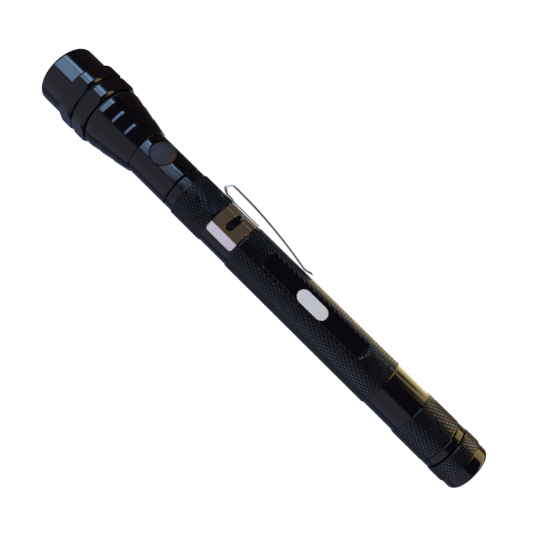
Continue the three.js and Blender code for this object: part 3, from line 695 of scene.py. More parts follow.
def finish(name, base, second, rough, metallic=0.0, grain=3000.0, bump=0.1, marks=0.0, ior=1.5):
    """A procedural finish: colour and roughness vary with handling marks, the normal with the grain.

    rough holds the roughness of a clean and of a smudged place. marks adds turning marks to the bump.
    """
    material, tree = new_material(name)
    shader = tree.nodes["Principled BSDF"]
    shader.inputs["Metallic"].default_value = metallic
    shader.inputs["IOR"].default_value = ior
    smudge = place_group(tree, "handling_marks").outputs["Smudge"]
    grains = place_group(tree, "fine_grain", Scale=grain)
    blend = add_node(tree, "ShaderNodeMath", operation="MULTIPLY_ADD", inputs={1: PATCH_SHARE})
    gloss = add_node(
        tree, "ShaderNodeMapRange",
        inputs={"From Max": 1 + PATCH_SHARE, "To Min": rough[0], "To Max": rough[1]},
    )
    relief = add_node(tree, "ShaderNodeBump", inputs={"Strength": bump, "Distance": GRAIN_RELIEF})
    height = grains.outputs["Grain"]
    if marks:
        lathe = place_group(tree, "turning_marks")
        total = add_node(tree, "ShaderNodeMath", operation="MULTIPLY_ADD", inputs={1: marks})
        wire(tree, (lathe.outputs["Mark"], total.inputs[0]), (height, total.inputs[2]))
        height = total.outputs[0]
    wire(
        tree,
        (mixed(tree, smudge, base, second), shader.inputs["Base Color"]),
        (grains.outputs["Patch"], blend.inputs[0]),
        (smudge, blend.inputs[2]),
        (blend.outputs[0], gloss.inputs["Value"]),
        (gloss.outputs["Result"], shader.inputs["Roughness"]),
        (height, relief.inputs["Height"]),
        (relief.outputs["Normal"], shader.inputs["Normal"]),
    )
    return material


def clear_finish(name, tint):
    """Clear moulded resin: a transmitting shader, a little darker and duller where it is smudged."""
    material, tree = new_material(name)
    shader = tree.nodes["Principled BSDF"]
    shader.inputs["Transmission Weight"].default_value = 0.85
    shader.inputs["IOR"].default_value = 1.53
    smudge = place_group(tree, "handling_marks", Scale=600.0).outputs["Smudge"]
    gloss = add_node(tree, "ShaderNodeMapRange", inputs={"To Min": 0.03, "To Max": 0.09})
    wire(
        tree,
        (mixed(tree, smudge, tint, shaded(tint, 0.93)), shader.inputs["Base Color"]),
        (smudge, gloss.inputs["Value"]),
        (gloss.outputs["Result"], shader.inputs["Roughness"]),
    )
    return material


def stock(name):
    """A finish by its name, built from the panel's colours the first time it is asked for."""
    made = bpy.data.materials.get(name)
    if made:
        return made
    if name == "clear_resin":
        return clear_finish(name, (0.94, 0.96, 0.97))
    colours = bpy.context.scene.flashlight_finishes
    anodised = dict(base=tuple(colours.anodised), second=shaded(colours.anodised, 1.25))
    chrome = dict(base=tuple(colours.chrome), second=shaded(colours.chrome, 0.88), metallic=1.0)
    settings = {
        "anodised_groove": dict(
            anodised, rough=(0.33, 0.43), grain=5000.0, bump=0.05, ior=colours.groove_gloss,
        ),
        "anodised_turned": dict(
            anodised, rough=(0.1, 0.17), grain=6000.0, bump=0.03, marks=0.5, ior=colours.gloss,
        ),
        "chrome_spring": dict(chrome, rough=(0.03, 0.09), grain=2500.0, bump=0.06),
        "chrome_mast": dict(chrome, rough=(0.1, 0.22), grain=4000.0, bump=0.05, marks=0.8),
        "brass_turned": dict(
            base=tuple(colours.brass), second=shaded(colours.brass, 0.7), rough=(0.22, 0.4),
            metallic=1.0, bump=0.08, marks=0.8,
        ),
        "nickel": dict(
            base=(0.66, 0.65, 0.62), second=(0.5, 0.5, 0.49), rough=(0.16, 0.32), metallic=1.0,
            bump=0.08,
        ),
        "cell_steel": dict(
            base=(0.68, 0.69, 0.7), second=(0.56, 0.57, 0.58), rough=(0.2, 0.34), metallic=1.0,
            bump=0.08,
        ),
        "rubber_button": dict(
            base=tuple(colours.rubber), second=shaded(colours.rubber, 0.75), rough=(0.55, 0.75),
            grain=3500.0, bump=0.35, ior=1.45,
        ),
        "rubber_ring": dict(
            base=(0.02, 0.02, 0.022), second=(0.03, 0.03, 0.032), rough=(0.5, 0.65), bump=0.15,
            ior=1.45,
        ),
        "moulded_black": dict(
            base=(0.02, 0.02, 0.021), second=(0.028, 0.028, 0.029), rough=(0.38, 0.55),
            grain=2200.0, bump=0.25,
        ),
        "board_green": dict(
            base=(0.02, 0.09, 0.03), second=(0.03, 0.12, 0.04), rough=(0.35, 0.5), grain=1800.0,
            bump=0.2,
        ),
        "reflector": dict(
            base=(0.78, 0.78, 0.76), second=(0.7, 0.7, 0.68), rough=(0.12, 0.24), metallic=1.0,
            grain=2500.0, bump=0.05,
        ),
        "label_white": dict(
            base=tuple(colours.label), second=(0.83, 0.815, 0.77), rough=(0.42, 0.58), grain=4000.0,
            ior=1.45,
        ),
        "phosphor": dict(
            base=(0.75, 0.62, 0.12), second=(0.68, 0.55, 0.1), rough=(0.5, 0.6), grain=6000.0,
        ),
    }
    return finish(name, **settings[name])


# What the settings of colour and of brightness in red, green and blue have in common
COLOUR = dict(subtype="COLOR", size=3, min=0.0, max=1.0)
BRIGHTNESS = dict(subtype="COLOR", size=3, min=0.0, max=40.0)


class FlashlightHandle(bpy.types.PropertyGroup):
    """Sizes of the handle's knurls and label."""

    knurl_count: IntProperty(
        name="Knurls round", description="Diamonds round the grips", default=42, min=20, max=90,
    )
    knurl_pitch: FloatProperty(
        name="Knurl pitch", description="Length of a diamond along the axis, in millimetres",
        default=2.04, min=0.8, max=4.0,
    )
    knurl_depth: FloatProperty(
        name="Knurl depth", description="Depth of the grooves, in millimetres", default=0.18,
        min=0.05, max=0.4,
    )
    tail_count: IntProperty(
        name="Tail knurls round", description="Diamonds round the tail cap", default=42, min=20, max=90,
    )
    tail_pitch: FloatProperty(
        name="Tail knurl pitch", description="Length of a tail diamond along the axis, in millimetres",
        default=1.43, min=0.6, max=4.0,
    )
    label_length: FloatProperty(
        name="Label length", description="Length of the blank label, in millimetres", default=11.0,
        min=4.0, max=30.0,
    )
    label_width: FloatProperty(
        name="Label width", description="Width of the blank label, in millimetres", default=4.6,
        min=2.0, max=6.0,
    )
    label_x: FloatProperty(
        name="Label place", description="Middle of the label along the axis, in millimetres",
        default=65.0, min=50.0, max=78.0,
    )


class FlashlightFinishes(bpy.types.PropertyGroup):
    """Colours and gloss of the finishes."""

    anodised: FloatVectorProperty(
        name="Anodised", description="Colour of the black anodised shell",
        default=(0.002, 0.0019, 0.0042), **COLOUR,
    )
    gloss: FloatProperty(
        name="Gloss", description="Refractive index of the sealed anodised skin", default=1.38,
        min=1.2, max=2.0,
    )
    groove_gloss: FloatProperty(
        name="Groove gloss", description="Refractive index of the skin in the knurl's matt grooves",
        default=1.36, min=1.1, max=2.0,
    )
    chrome: FloatVectorProperty(
        name="Chrome", description="Colour of the chromed clip and mast",
        default=(0.8, 0.785, 0.76), **COLOUR,
    )
    brass: FloatVectorProperty(
        name="Brass", description="Colour of the mast's shoes",
        default=(0.72, 0.52, 0.24), **COLOUR,
    )
    rubber: FloatVectorProperty(
        name="Rubber", description="Colour of the button",
        default=(0.032, 0.033, 0.038), **COLOUR,
    )
    label: FloatVectorProperty(
        name="Label", description="Colour of the blank label",
        default=(0.86, 0.8, 0.69), **COLOUR,
    )


class FlashlightStage(bpy.types.PropertyGroup):
    """Camera and light of the stage."""

    camera_place: FloatVectorProperty(
        name="Camera", description="Place of the camera", subtype="TRANSLATION", unit="LENGTH",
        size=3, default=(0.065083, -0.032531, 0.184173),
    )
    camera_turn: FloatVectorProperty(
        name="Camera turn", description="Turn of the camera about X, Y and Z", subtype="EULER",
        unit="ROTATION", size=3,
        default=(math.radians(-3.2274), math.radians(10.6691), math.radians(-136.2061)),
    )
    focal_length: FloatProperty(
        name="Focal length", description="Focal length on a 36 mm sensor, in millimetres",
        default=42.37, min=10.0, max=200.0,
    )
    white_wall: FloatVectorProperty(
        name="White wall", description="Brightness of the large panel on the lower left side",
        default=(0.6, 0.6, 0.79), **BRIGHTNESS,
    )
    near_window: FloatVectorProperty(
        name="Near window", description="Brightness of the window's nearer, dimmer part",
        default=(1.9, 2.3, 3.9), **BRIGHTNESS,
    )
    far_window: FloatVectorProperty(
        name="Far window", description="Brightness of the window's farther, bluer part",
        default=(3.6, 6.0, 9.5), **BRIGHTNESS,
    )
    side_window: FloatVectorProperty(
        name="Side window", description="Brightness of the window's part beyond its bar",
        default=(5.6, 9.0, 13.5), **BRIGHTNESS,
    )
    warm_panel: FloatVectorProperty(
        name="Warm panel", description="Brightness of the warm panel beside the tail",
        default=(5.0, 3.5, 1.3), **BRIGHTNESS,
    )
    fill_light: FloatProperty(
        name="Room", description="Brightness of the room all round", default=0.08, min=0.0, max=2.0,
    )


def edge_rows(x, radius, sides, is_rear):
    """Rows round a band's rounded end: a quarter circle, and a row beside it that holds the band flat."""
    way = 1 if is_rear else -1
    middle = x + way * EDGE_DROP
    end = math.pi if is_rear else 0
    bend = arc(middle, radius - EDGE_DROP, EDGE_DROP, end, QUARTER_TURN, EDGE_STEPS)
    outline = [*bend, [middle + way * HOLD_STEP, radius]]
    return plain_rows(outline[::way], sides)


def band_rows(rear, front, radius, sides):
    """A plain band with both ends rounded."""
    return [edge_rows(rear, radius, sides, True), edge_rows(front, radius, sides, False)]


def grip_rows(rear, front, sizes, sides):
    """A knurled grip between two narrow rounded lands that lie a little lower."""
    knurl = knurl_rows(
        rear + GRIP_LAND, front - GRIP_LAND, GRIP_RADIUS, sides, sizes.knurl_pitch, sizes.knurl_depth,
    )
    rear_edge, front_edge = band_rows(rear, front, GRIP_RADIUS - LAND_DROP, sides)
    return [rear_edge, knurl, front_edge]


def flat_limit(x, angle):
    """The milled flat as a limit of the radius: its plane's height over the cosine off its middle."""
    runout = FLAT_SLOPE * np.maximum(np.maximum(FLAT_REAR - x, x - FLAT_FRONT), 0)
    lean = np.cos(angle - FLAT_ANGLE)
    limit = (FLAT_HEIGHT + runout) / np.maximum(lean, FLAT_LEAST_COSINE)
    return np.where(lean > FLAT_LEAST_COSINE, limit, np.inf)


class FLASHLIGHT_OT_handle(bpy.types.Operator):
    """Make the handle's tube with its knurled grips, waist, clip seat, milled flat and mouth"""

    bl_idname = "flashlight.handle"
    bl_label = "Handle"

    def execute(self, context):
        sizes = context.scene.flashlight_handle
        sides = sizes.knurl_count * 2 * KNURL_STEPS
        waist = [
            [REAR_GRIP, WAIST_RADIUS], [REAR_GRIP + BAND_ROW, WAIST_RADIUS],
            [WAIST - BAND_ROW, WAIST_RADIUS], [WAIST, WAIST_RADIUS],
        ]
        mouth = [
            [MOUTH, MOUTH_BORE + MOUTH_CHAMFER], [MOUTH - MOUTH_CHAMFER, MOUTH_BORE],
            [FRONT_GRIP, MOUTH_BORE], [FRONT_GRIP, BORE],
        ]
        parts = [
            plain_rows([[TUBE_REAR, BORE]], sides),
            *band_rows(TUBE_REAR, REAR_BAND, REAR_BAND_RADIUS, sides),
            *grip_rows(REAR_BAND, REAR_GRIP, sizes, sides),
            plain_rows(waist, sides),
            *grip_rows(WAIST, MAIN_GRIP, sizes, sides),
            plain_rows([[MAIN_GRIP, SEAT_RADIUS], [CLIP_SEAT, SEAT_RADIUS]], sides),
            *grip_rows(CLIP_SEAT, FRONT_GRIP, sizes, sides),
            plain_rows([[FRONT_GRIP, MOUTH_RADIUS], [FRONT_GRIP + BAND_ROW, MOUTH_RADIUS]], sides),
            edge_rows(MOUTH, MOUTH_RADIUS, sides, False),
            plain_rows(mouth, sides),
        ]
        milled = []
        for x, radius, crest, lattice in parts:
            limit = flat_limit(x[:, None], all_round(sides))
            cut = (radius > BORE) & (limit < radius)
            milled.append((x, np.where(cut, limit, radius), np.where(cut, 1, crest), lattice))
        points, faces, crest = knurled(milled, sides, loop=True)
        piece("handle_shell", [(points, faces)], "handle", stock("anodised_turned"),
              ["body_tube"], sharp=28, crest=crest, groove=stock("anodised_groove"))
        return {"FINISHED"}


class FLASHLIGHT_OT_label(bpy.types.Operator):
    """Lay the blank label on the milled flat"""

    bl_idname = "flashlight.label"
    bl_label = "Label"

    def execute(self, context):
        sizes = context.scene.flashlight_handle
        half = sizes.label_width / 2
        spine = sizes.label_length / 2 - half
        turn = all_round(LABEL_SIDES)
        # Each row is a share of the half width and a rise; the rows of share 0 are single points
        rows = np.array([
            [0, -LABEL_SINK], [1, -LABEL_SINK], [1, LABEL_TOP - LABEL_BEVEL],
            [LABEL_TOP_SHARE, LABEL_TOP], [LABEL_MIDDLE_SHARE, LABEL_TOP], [0, LABEL_TOP],
        ])
        share, rise = rows[:, :1], rows[:, 1:]
        end = np.where(np.abs(np.cos(turn)) < TINY, 0, np.sign(np.cos(turn)))
        stretch = spine * end * np.minimum(share * LABEL_SPREAD, 1)
        x = sizes.label_x + stretch + share * half * np.cos(turn)
        side = LABEL_SHIFT + share * half * np.sin(turn)
        points = facing(x, side, FLAT_HEIGHT + rise, FLAT_ANGLE)
        piece("flat_label", [(points, grid_faces(len(rows), len(turn)))], "handle",
              stock("label_white"))
        return {"FINISHED"}


class FLASHLIGHT_OT_tail(bpy.types.Operator):
    """Make the tail cap with its fine knurl, and the magnet in its end"""

    bl_idname = "flashlight.tail"
    bl_label = "Tail cap"

    def execute(self, context):
        sizes = context.scene.flashlight_handle
        sides = sizes.tail_count * 2 * KNURL_STEPS
        land = TAIL_GRIP_RADIUS - LAND_DROP
        pocket = [
            [POCKET_DEPTH, 0], [POCKET_DEPTH, POCKET_RADIUS], [POCKET_CHAMFER, POCKET_RADIUS],
            [0, POCKET_RADIUS + POCKET_CHAMFER], [0, POCKET_RADIUS + POCKET_LAND],
        ]
        rounding = arc(TAIL_ROUNDING, TAIL_END_RADIUS - TAIL_ROUNDING, TAIL_ROUNDING, math.pi,
                       QUARTER_TURN, TAIL_ROUNDING_STEPS)
        end = [[TAIL_END - BAND_ROW, TAIL_END_RADIUS], [TAIL_END, TAIL_END_RADIUS]]
        rear_edge = arc(TAIL_END + TAIL_EDGE, land - TAIL_EDGE, TAIL_EDGE, math.pi, QUARTER_TURN,
                        TAIL_EDGE_STEPS)
        front_edge = arc(TAIL_GRIP - TAIL_EDGE, land - TAIL_EDGE, TAIL_EDGE, QUARTER_TURN, 0,
                         TAIL_EDGE_STEPS)
        plug = [
            [TAIL_GRIP, TAIL_PLUG_RADIUS], [TAIL_PLUG - TAIL_PLUG_CHAMFER, TAIL_PLUG_RADIUS],
            [TAIL_PLUG, TAIL_PLUG_RADIUS - TAIL_PLUG_CHAMFER], [TAIL_PLUG, 0],
        ]
        parts = [
            plain_rows(np.concatenate([pocket, rounding, end, rear_edge]), sides),
            knurl_rows(TAIL_END + GRIP_LAND, TAIL_GRIP - GRIP_LAND, TAIL_GRIP_RADIUS, sides,
                       sizes.tail_pitch, TAIL_KNURL_SHARE * sizes.knurl_depth),
            plain_rows(np.concatenate([front_edge, plug]), sides),
        ]
        points, faces, crest = knurled(parts, sides)
        piece("tail_cap_shell", [(points, faces)], "handle", stock("anodised_turned"),
              ["tail_cap"], sharp=28, crest=crest, groove=stock("anodised_groove"))
        magnet = disc(0, TAIL_MAGNET_FRONT, TAIL_MAGNET_RADIUS, TAIL_MAGNET_EDGE)
        piece("tail_magnet_disc", [magnet], "handle", stock("nickel"), ["tail_magnet"])
        return {"FINISHED"}


def clip_band():
    """The clip's band: two sheets, each a ring between a slot and a rounded rectangle, bent round.

    The outline runs round the rectangle; the slot's point is the half width away from the nearest
    point of the slot's middle line. Between them the sheet is a straight mix, outside then inside.
    """
    middle_radius = (CLIP_INNER + CLIP_OUTER) / 2
    end = CLIP_HALF_ANGLE * middle_radius
    half = (CLIP_FRONT - CLIP_REAR) / 2
    corner = CLIP_CORNER
    across = np.linspace(half, -half, BAND_ACROSS)
    along = np.linspace(0, end - corner, BAND_ALONG)[1:-1]
    edge = np.linspace(-half + corner, half - corner, BAND_END)[1:-1]
    outline = np.concatenate([
        np.stack([0 * across, across], axis=-1),
        np.stack([along, np.full(len(along), -half)], axis=-1),
        arc(end - corner, -half + corner, corner, -QUARTER_TURN, 0, CLIP_CORNER_STEPS),
        np.stack([np.full(len(edge), end), edge], axis=-1),
        arc(end - corner, half - corner, corner, 0, QUARTER_TURN, CLIP_CORNER_STEPS),
        np.stack([along[::-1], np.full(len(along), half)], axis=-1),
    ])
    spine = np.clip(outline[:, :1], CLIP_SLOT_START * middle_radius, CLIP_SLOT_END * middle_radius)
    nearest = np.concatenate([spine, 0 * spine], axis=1)
    outward = outline - nearest
    slot = nearest + CLIP_SLOT_HALF * outward / np.linalg.norm(outward, axis=1, keepdims=True)
    share = np.linspace(0, 1, BAND_LAYERS)[:, None, None]
    sheet = slot + share * (outline - slot)
    both = np.concatenate([sheet, sheet[::-1]])
    radius = np.repeat([CLIP_OUTER, CLIP_INNER], len(sheet))[:, None]
    faces = grid_faces(len(both), len(outline), loop=True).reshape(-1, 4)
    bend = both[..., 0] / middle_radius
    x = (CLIP_FRONT + CLIP_REAR) / 2 + both[..., 1]
    is_seam = (bend.reshape(-1)[faces] < TINY).all(axis=1)
    right = (around(x, radius, CLIP_ANGLE + bend), faces[~is_seam])
    left = (around(x, radius, CLIP_ANGLE - bend), faces[~is_seam])
    return [right, flipped(left)]


def clip_path():
    """The arm's middle line (x, height): tongue, pointed nose with rounded bends, bow, toe and tip."""
    top = TONGUE_HEIGHT + 2 * NOSE_RADIUS
    drop = top - GRIP_RADIUS - ARM_CLEARANCE
    bow = (ARM_LENGTH ** 2 + drop ** 2) / (2 * drop)
    sweep = math.asin(ARM_LENGTH / bow)
    toe_x = NOSE_X - (bow + TOE_RADIUS) * math.sin(sweep)
    toe_h = top - bow + (bow + TOE_RADIUS) * math.cos(sweep)
    tongue = np.linspace(TONGUE_REAR, TONGUE_FRONT, TONGUE_POINTS)
    root = np.stack([tongue, np.full(len(tongue), TONGUE_HEIGHT)], axis=-1)
    nose = [
        [NOSE_LOW, TONGUE_HEIGHT], [NOSE_TIP, TONGUE_HEIGHT + NOSE_TIP_RISE], [NOSE_HIGH, top],
        [NOSE_X, top],
    ]
    front = soften(np.concatenate([root, nose]), NOSE_BEND, NOSE_STEPS)
    arm = arc(NOSE_X, top - bow, bow, QUARTER_TURN, QUARTER_TURN + sweep, ARM_STEPS)[1:-1]
    down = 3 * QUARTER_TURN
    toe = arc(toe_x, toe_h, TOE_RADIUS, down + sweep, down - TOE_ANGLE, TOE_STEPS)
    reach = TOE_LENGTH * np.sin(np.linspace(0, QUARTER_TURN, TOE_TIP_POINTS)[1:])
    tip = toe[-1] + np.stack([-reach * math.cos(TOE_ANGLE), reach * math.sin(TOE_ANGLE)], axis=-1)
    return np.concatenate([front, arm, toe, tip])


def clip_arm():
    """The arm: a rounded rectangle carried along the path, its root bent to the band's curve.

    Half the width is w, and sqrt(w^2 - (w - d)^2) at a distance d below w from the tip, which rounds
    the end. At the root the section is lowered by R - sqrt(R^2 - side^2), fading out along the tongue.
    """
    path = clip_path()
    step = np.gradient(path, axis=0)
    step = step / np.linalg.norm(step, axis=1, keepdims=True)
    normal = np.stack([-step[:, 1], step[:, 0]], axis=-1)
    half = CLIP_WIDTH / 2
    left = np.clip(path[:, 0] - path[-1, 0], 0, half)
    is_toe = np.arange(len(path)) > len(path) // 2
    width = np.where(is_toe, np.sqrt(np.maximum(half ** 2 - (half - left) ** 2, 0)), half)[:, None]
    corner = np.minimum(ARM_ROUND, width)
    turn = all_round(ARM_SIDES) + math.pi / ARM_SIDES
    cosine, sine = np.cos(turn), np.sin(turn)
    side = np.sign(cosine) * (width - corner) + corner * cosine
    lift = np.sign(sine) * (CLIP_THICKNESS / 2 - ARM_ROUND) + ARM_ROUND * sine
    x = path[:, :1] + normal[:, :1] * lift
    height = path[:, 1:] + normal[:, 1:] * lift
    fade = np.clip((TONGUE_FADE - path[:, :1]) / (TONGUE_FADE - TONGUE_REAR), 0, 1)
    fade = np.where(is_toe[:, None], 0, fade ** 2 * (3 - 2 * fade))
    height = height - fade * (CLIP_OUTER - np.sqrt(CLIP_OUTER ** 2 - side ** 2) + TONGUE_SINK)
    points = facing(x, side, height, CLIP_ANGLE)
    cap = np.repeat(points[:1].mean(axis=1, keepdims=True), len(turn), axis=1)
    points = np.concatenate([cap, points])
    return points, grid_faces(len(points), len(turn))


class FLASHLIGHT_OT_clip(bpy.types.Operator):
    """Bend the pocket clip: a slotted band round the handle and a sprung arm"""

    bl_idname = "flashlight.clip"
    bl_label = "Pocket clip"

    def execute(self, context):
        obj = piece("clip_spring", [*clip_band(), clip_arm()], "handle",
                    stock("chrome_spring"), ["pocket_clip"], sharp=35)
        edge = obj.modifiers.new("edge", "BEVEL")
        edge.width = CLIP_BEVEL * MM
        edge.segments = 2
        edge.limit_method = "ANGLE"
        edge.angle_limit = CLIP_BEVEL_ANGLE
        return {"FINISHED"}


def mast_tube(outer, next_outer):
    """A mast section: a tube whose front lip is rolled in to the section inside it."""
    inner = outer - MAST_WALL
    lip = next_outer + SLIDE_GAP
    outline = [
        [MAST_REAR, inner], [MAST_REAR, outer], [MAST_FRONT - MAST_WALL, outer], [MAST_FRONT, inner],
        [MAST_FRONT, lip], [MAST_FRONT - MAST_LIP, lip], [MAST_FRONT - MAST_LIP, inner],
    ]
    return turned(soften(outline, MAST_EDGE, ring=True), MAST_SIDES, loop=True)


def mast_rod(outer):
    """The innermost mast section: a solid rod with a chamfered tip."""
    outline = [
        [MAST_REAR, 0], [MAST_REAR, outer], [MAST_TIP - MAST_WALL, outer],
        [MAST_TIP, outer - MAST_WALL], [MAST_TIP, 0],
    ]
    return turned(soften(outline, MAST_EDGE), ROD_SIDES)


def mast_shoe(outer):
    """The shoe on a section's rear end: a sleeve with a groove round its middle."""
    low = outer + SHOE_SEAT
    high = outer + SHOE_RISE
    groove = (MAST_REAR + SHOE_FRONT) / 2
    outline = [
        [MAST_REAR, low], [MAST_REAR, high], [groove - SHOE_GROOVE, high],
        [groove, high - SHOE_GROOVE_DEPTH], [groove + SHOE_GROOVE, high], [SHOE_FRONT, high],
        [SHOE_FRONT, low],
    ]
    return turned(soften(outline, SHOE_EDGE, ring=True), MAST_SIDES, loop=True)


class FLASHLIGHT_OT_mast(bpy.types.Operator):
    """Draw the telescopic mast: five tubes with rolled lips, a rod, and a brass shoe on each"""

    bl_idname = "flashlight.mast"
    bl_label = "Mast"

    def execute(self, context):
        shapes = [mast_tube(*pair) for pair in zip(MAST_RADII, MAST_RADII[1:])]
        shapes.append(mast_rod(MAST_RADII[-1]))
        for number, (outer, shape) in enumerate(zip(MAST_RADII, shapes), 1):
            body = f"mast_{number}"
            piece(f"mast_tube_{number}", [shape], body, stock("chrome_mast"),
                  [f"mast_section_{number}"])
            piece(f"mast_bush_{number}", [mast_shoe(outer)], body, stock("brass_turned"),
                  [f"mast_shoe_{number}"])
        return {"FINISHED"}


def socket_outline():
    """The socket end of a neck piece (x, r), from the axis to its front edge, with its hinge at 0."""
    rim = math.acos(-LINK_RIM / SOCKET_RADIUS)
    shell = [
        [-LINK_RIM, LINK_RADIUS - LINK_EDGE], [-LINK_RIM + LINK_EDGE, LINK_RADIUS],
        [LINK_SHELL - LINK_EDGE, LINK_RADIUS], [LINK_SHELL, LINK_RADIUS - LINK_EDGE],
    ]
    return np.concatenate([arc(0, 0, SOCKET_RADIUS, 0, rim, BALL_STEPS), shell])


def ball_outline(x):
    """The ball end of a neck piece (x, r), from its stem to the axis, with its hinge at x."""
    return arc(x, 0, BALL_RADIUS, math.acos(-BALL_STEM / BALL_RADIUS), 0, BALL_STEPS)


class FLASHLIGHT_OT_neck(bpy.types.Operator):
    """String the neck's ball links between their two ferrules"""

    bl_idname = "flashlight.neck"
    bl_label = "Jointed neck"

    def execute(self, context):
        metal = stock("chrome_mast")
        ferrule = [
            [FERRULE_BORE_FRONT, 0], [FERRULE_BORE_FRONT, FERRULE_BORE], [FERRULE_REAR, FERRULE_BORE],
            [FERRULE_REAR, LINK_RADIUS - LINK_EDGE], [FERRULE_REAR + LINK_EDGE, LINK_RADIUS],
            [FERRULE_FRONT - LINK_EDGE, LINK_RADIUS], [FERRULE_FRONT, LINK_RADIUS - LINK_EDGE],
            [FERRULE_FRONT, BALL_RADIUS],
        ]
        root = np.concatenate([soften(ferrule, FERRULE_EDGE), ball_outline(REAR_HINGE)])
        piece("neck_root", [turned(root, NECK_SIDES)], "neck_base", metal,
              ["neck_rear_ferrule"])
        link = np.concatenate([socket_outline(), [[LINK_SHELL, BALL_RADIUS]], ball_outline(LINK_PITCH)])
        for index in range(LINK_COUNT):
            number = index + 1
            outline = link + [REAR_HINGE + index * LINK_PITCH, 0]
            piece(f"neck_ball_{number}", [turned(outline, NECK_SIDES)], f"link_{number}",
                  metal, [f"neck_link_{number}"])
        spigot_front = LINK_SHELL + SPIGOT_TIP_LENGTH
        spigot = [
            [LINK_SHELL, SPIGOT_TIP_RADIUS], [spigot_front, SPIGOT_TIP_RADIUS], [spigot_front, 0],
        ]
        tip = np.concatenate([socket_outline(), spigot]) + [REAR_HINGE + LINK_COUNT * LINK_PITCH, 0]
        piece("neck_tip", [turned(tip, NECK_SIDES)], "head", metal, ["neck_front_ferrule"])
        return {"FINISHED"}


def holed_wall(radius, angle, stations):
    """A cylinder wall with the button's hole: rows all round, less a square, and a ring in the square.

    The ring runs from the hole's circle to the square's edge by a straight mix of (x, sideways), and
    each point lies on the cylinder at the angle whose sine is sideways over the radius.
    """
    rows, columns = len(stations), len(angle)
    cells = grid_faces(rows, columns)
    inside = np.zeros(cells.shape[:2], bool)
    inside[:, :HOLE_REACH] = True
    inside[:, columns - HOLE_REACH:] = True
    wall = (around(stations[:, None], radius, BUTTON_ANGLE + angle), cells[~inside])
    count = 2 * HOLE_REACH
    index = np.arange(count)
    full, none = np.full(count, count), np.zeros(count, int)
    row = np.concatenate([none, index, full, count - index])
    column = np.concatenate([index, full, count - index, none]) - HOLE_REACH
    side = radius * np.sin(angle[column])
    x = stations[row] - BUTTON_X
    turn = np.arctan2(side, x)
    share = np.linspace(0, 1, HOLE_RINGS)[:, None]
    ring_x = (1 - share) * BUTTON_HOLE * np.cos(turn) + share * x
    ring_side = (1 - share) * BUTTON_HOLE * np.sin(turn) + share * side
    lean = np.arcsin(ring_side / radius)
    points = around(BUTTON_X + ring_x, radius, BUTTON_ANGLE + lean)
    return wall, (points, grid_faces(HOLE_RINGS, len(turn)))


class FLASHLIGHT_OT_head(bpy.types.Operator):
    """Turn the head's shell: neck with the button's hole, stepped taper, spigot, and the plug behind"""

    bl_idname = "flashlight.head"
    bl_label = "Head"

    def execute(self, context):
        angle = all_round(HEAD_SIDES)
        angle = np.where(angle > math.pi, angle - FULL_TURN, angle)
        stations = BUTTON_X + np.linspace(-HOLE_HALF_SQUARE, HOLE_HALF_SQUARE, 2 * HOLE_REACH + 1)
        outer_wall, outer_ring = holed_wall(NECK_RADIUS, angle, stations)
        inner_wall, inner_ring = holed_wall(NECK_CAVITY, angle, stations)
        hole = np.stack([outer_ring[0][0], inner_ring[0][0]])
        sheets = [
            outer_wall, flipped(outer_ring), flipped(inner_wall), inner_ring,
            (hole, grid_faces(2, hole.shape[1])),
        ]
        front = soften([
            [stations[-1], NECK_RADIUS], [TAPER_REAR, NECK_RADIUS], *TAPER_OUTLINE,
            [TAPER_FRONT, SPIGOT_RADIUS], [SPIGOT_FRONT, SPIGOT_RADIUS], [SPIGOT_FRONT, CELL_BORE],
            [BULKHEAD_FRONT, CELL_BORE], [BULKHEAD_FRONT, 0],
        ], HEAD_EDGE)
        rear = soften([
            [stations[0], NECK_CAVITY], [HEAD_REAR, NECK_CAVITY], [HEAD_REAR, NECK_RADIUS],
            [stations[0], NECK_RADIUS],
        ], HEAD_REAR_EDGE)
        inside = soften([
            [BULKHEAD_REAR, 0], [BULKHEAD_REAR, NECK_CAVITY], [stations[-1], NECK_CAVITY],
        ], CAVITY_EDGE)
        for outline in (front, rear, inside):
            points = around(outline[:, :1], outline[:, 1:], BUTTON_ANGLE + angle)
            sheets.append((points, grid_faces(len(outline), HEAD_SIDES)))
        piece("head_shell", [joined(sheets)], "head", stock("anodised_turned"),
              ["head_body"], sharp=25)
        plug = soften([
            [PLUG_BORE_FRONT, 0], [PLUG_BORE_FRONT, PLUG_BORE], [PLUG_TIP, PLUG_BORE],
            [PLUG_TIP, PLUG_TIP_RADIUS], [HEAD_REAR, PLUG_CONE_RADIUS], [HEAD_REAR, PLUG_FLANGE],
            [PLUG_FRONT, PLUG_FLANGE], [PLUG_FRONT, 0],
        ], PLUG_EDGE)
        piece("head_plug_cone", [turned(plug, PLUG_SIDES)], "head",
              stock("anodised_turned"), ["head_plug"])
        return {"FINISHED"}


def hex_ring(rear, front):
    """The outline of a bezel ring before its flats are cut: a cylinder with both edges chamfered."""
    return [
        [rear, HEX_CORNER - HEX_CHAMFER], [rear + HEX_CHAMFER, HEX_CORNER],
        [front - HEX_CHAMFER, HEX_CORNER], [front, HEX_CORNER - HEX_CHAMFER],
    ]


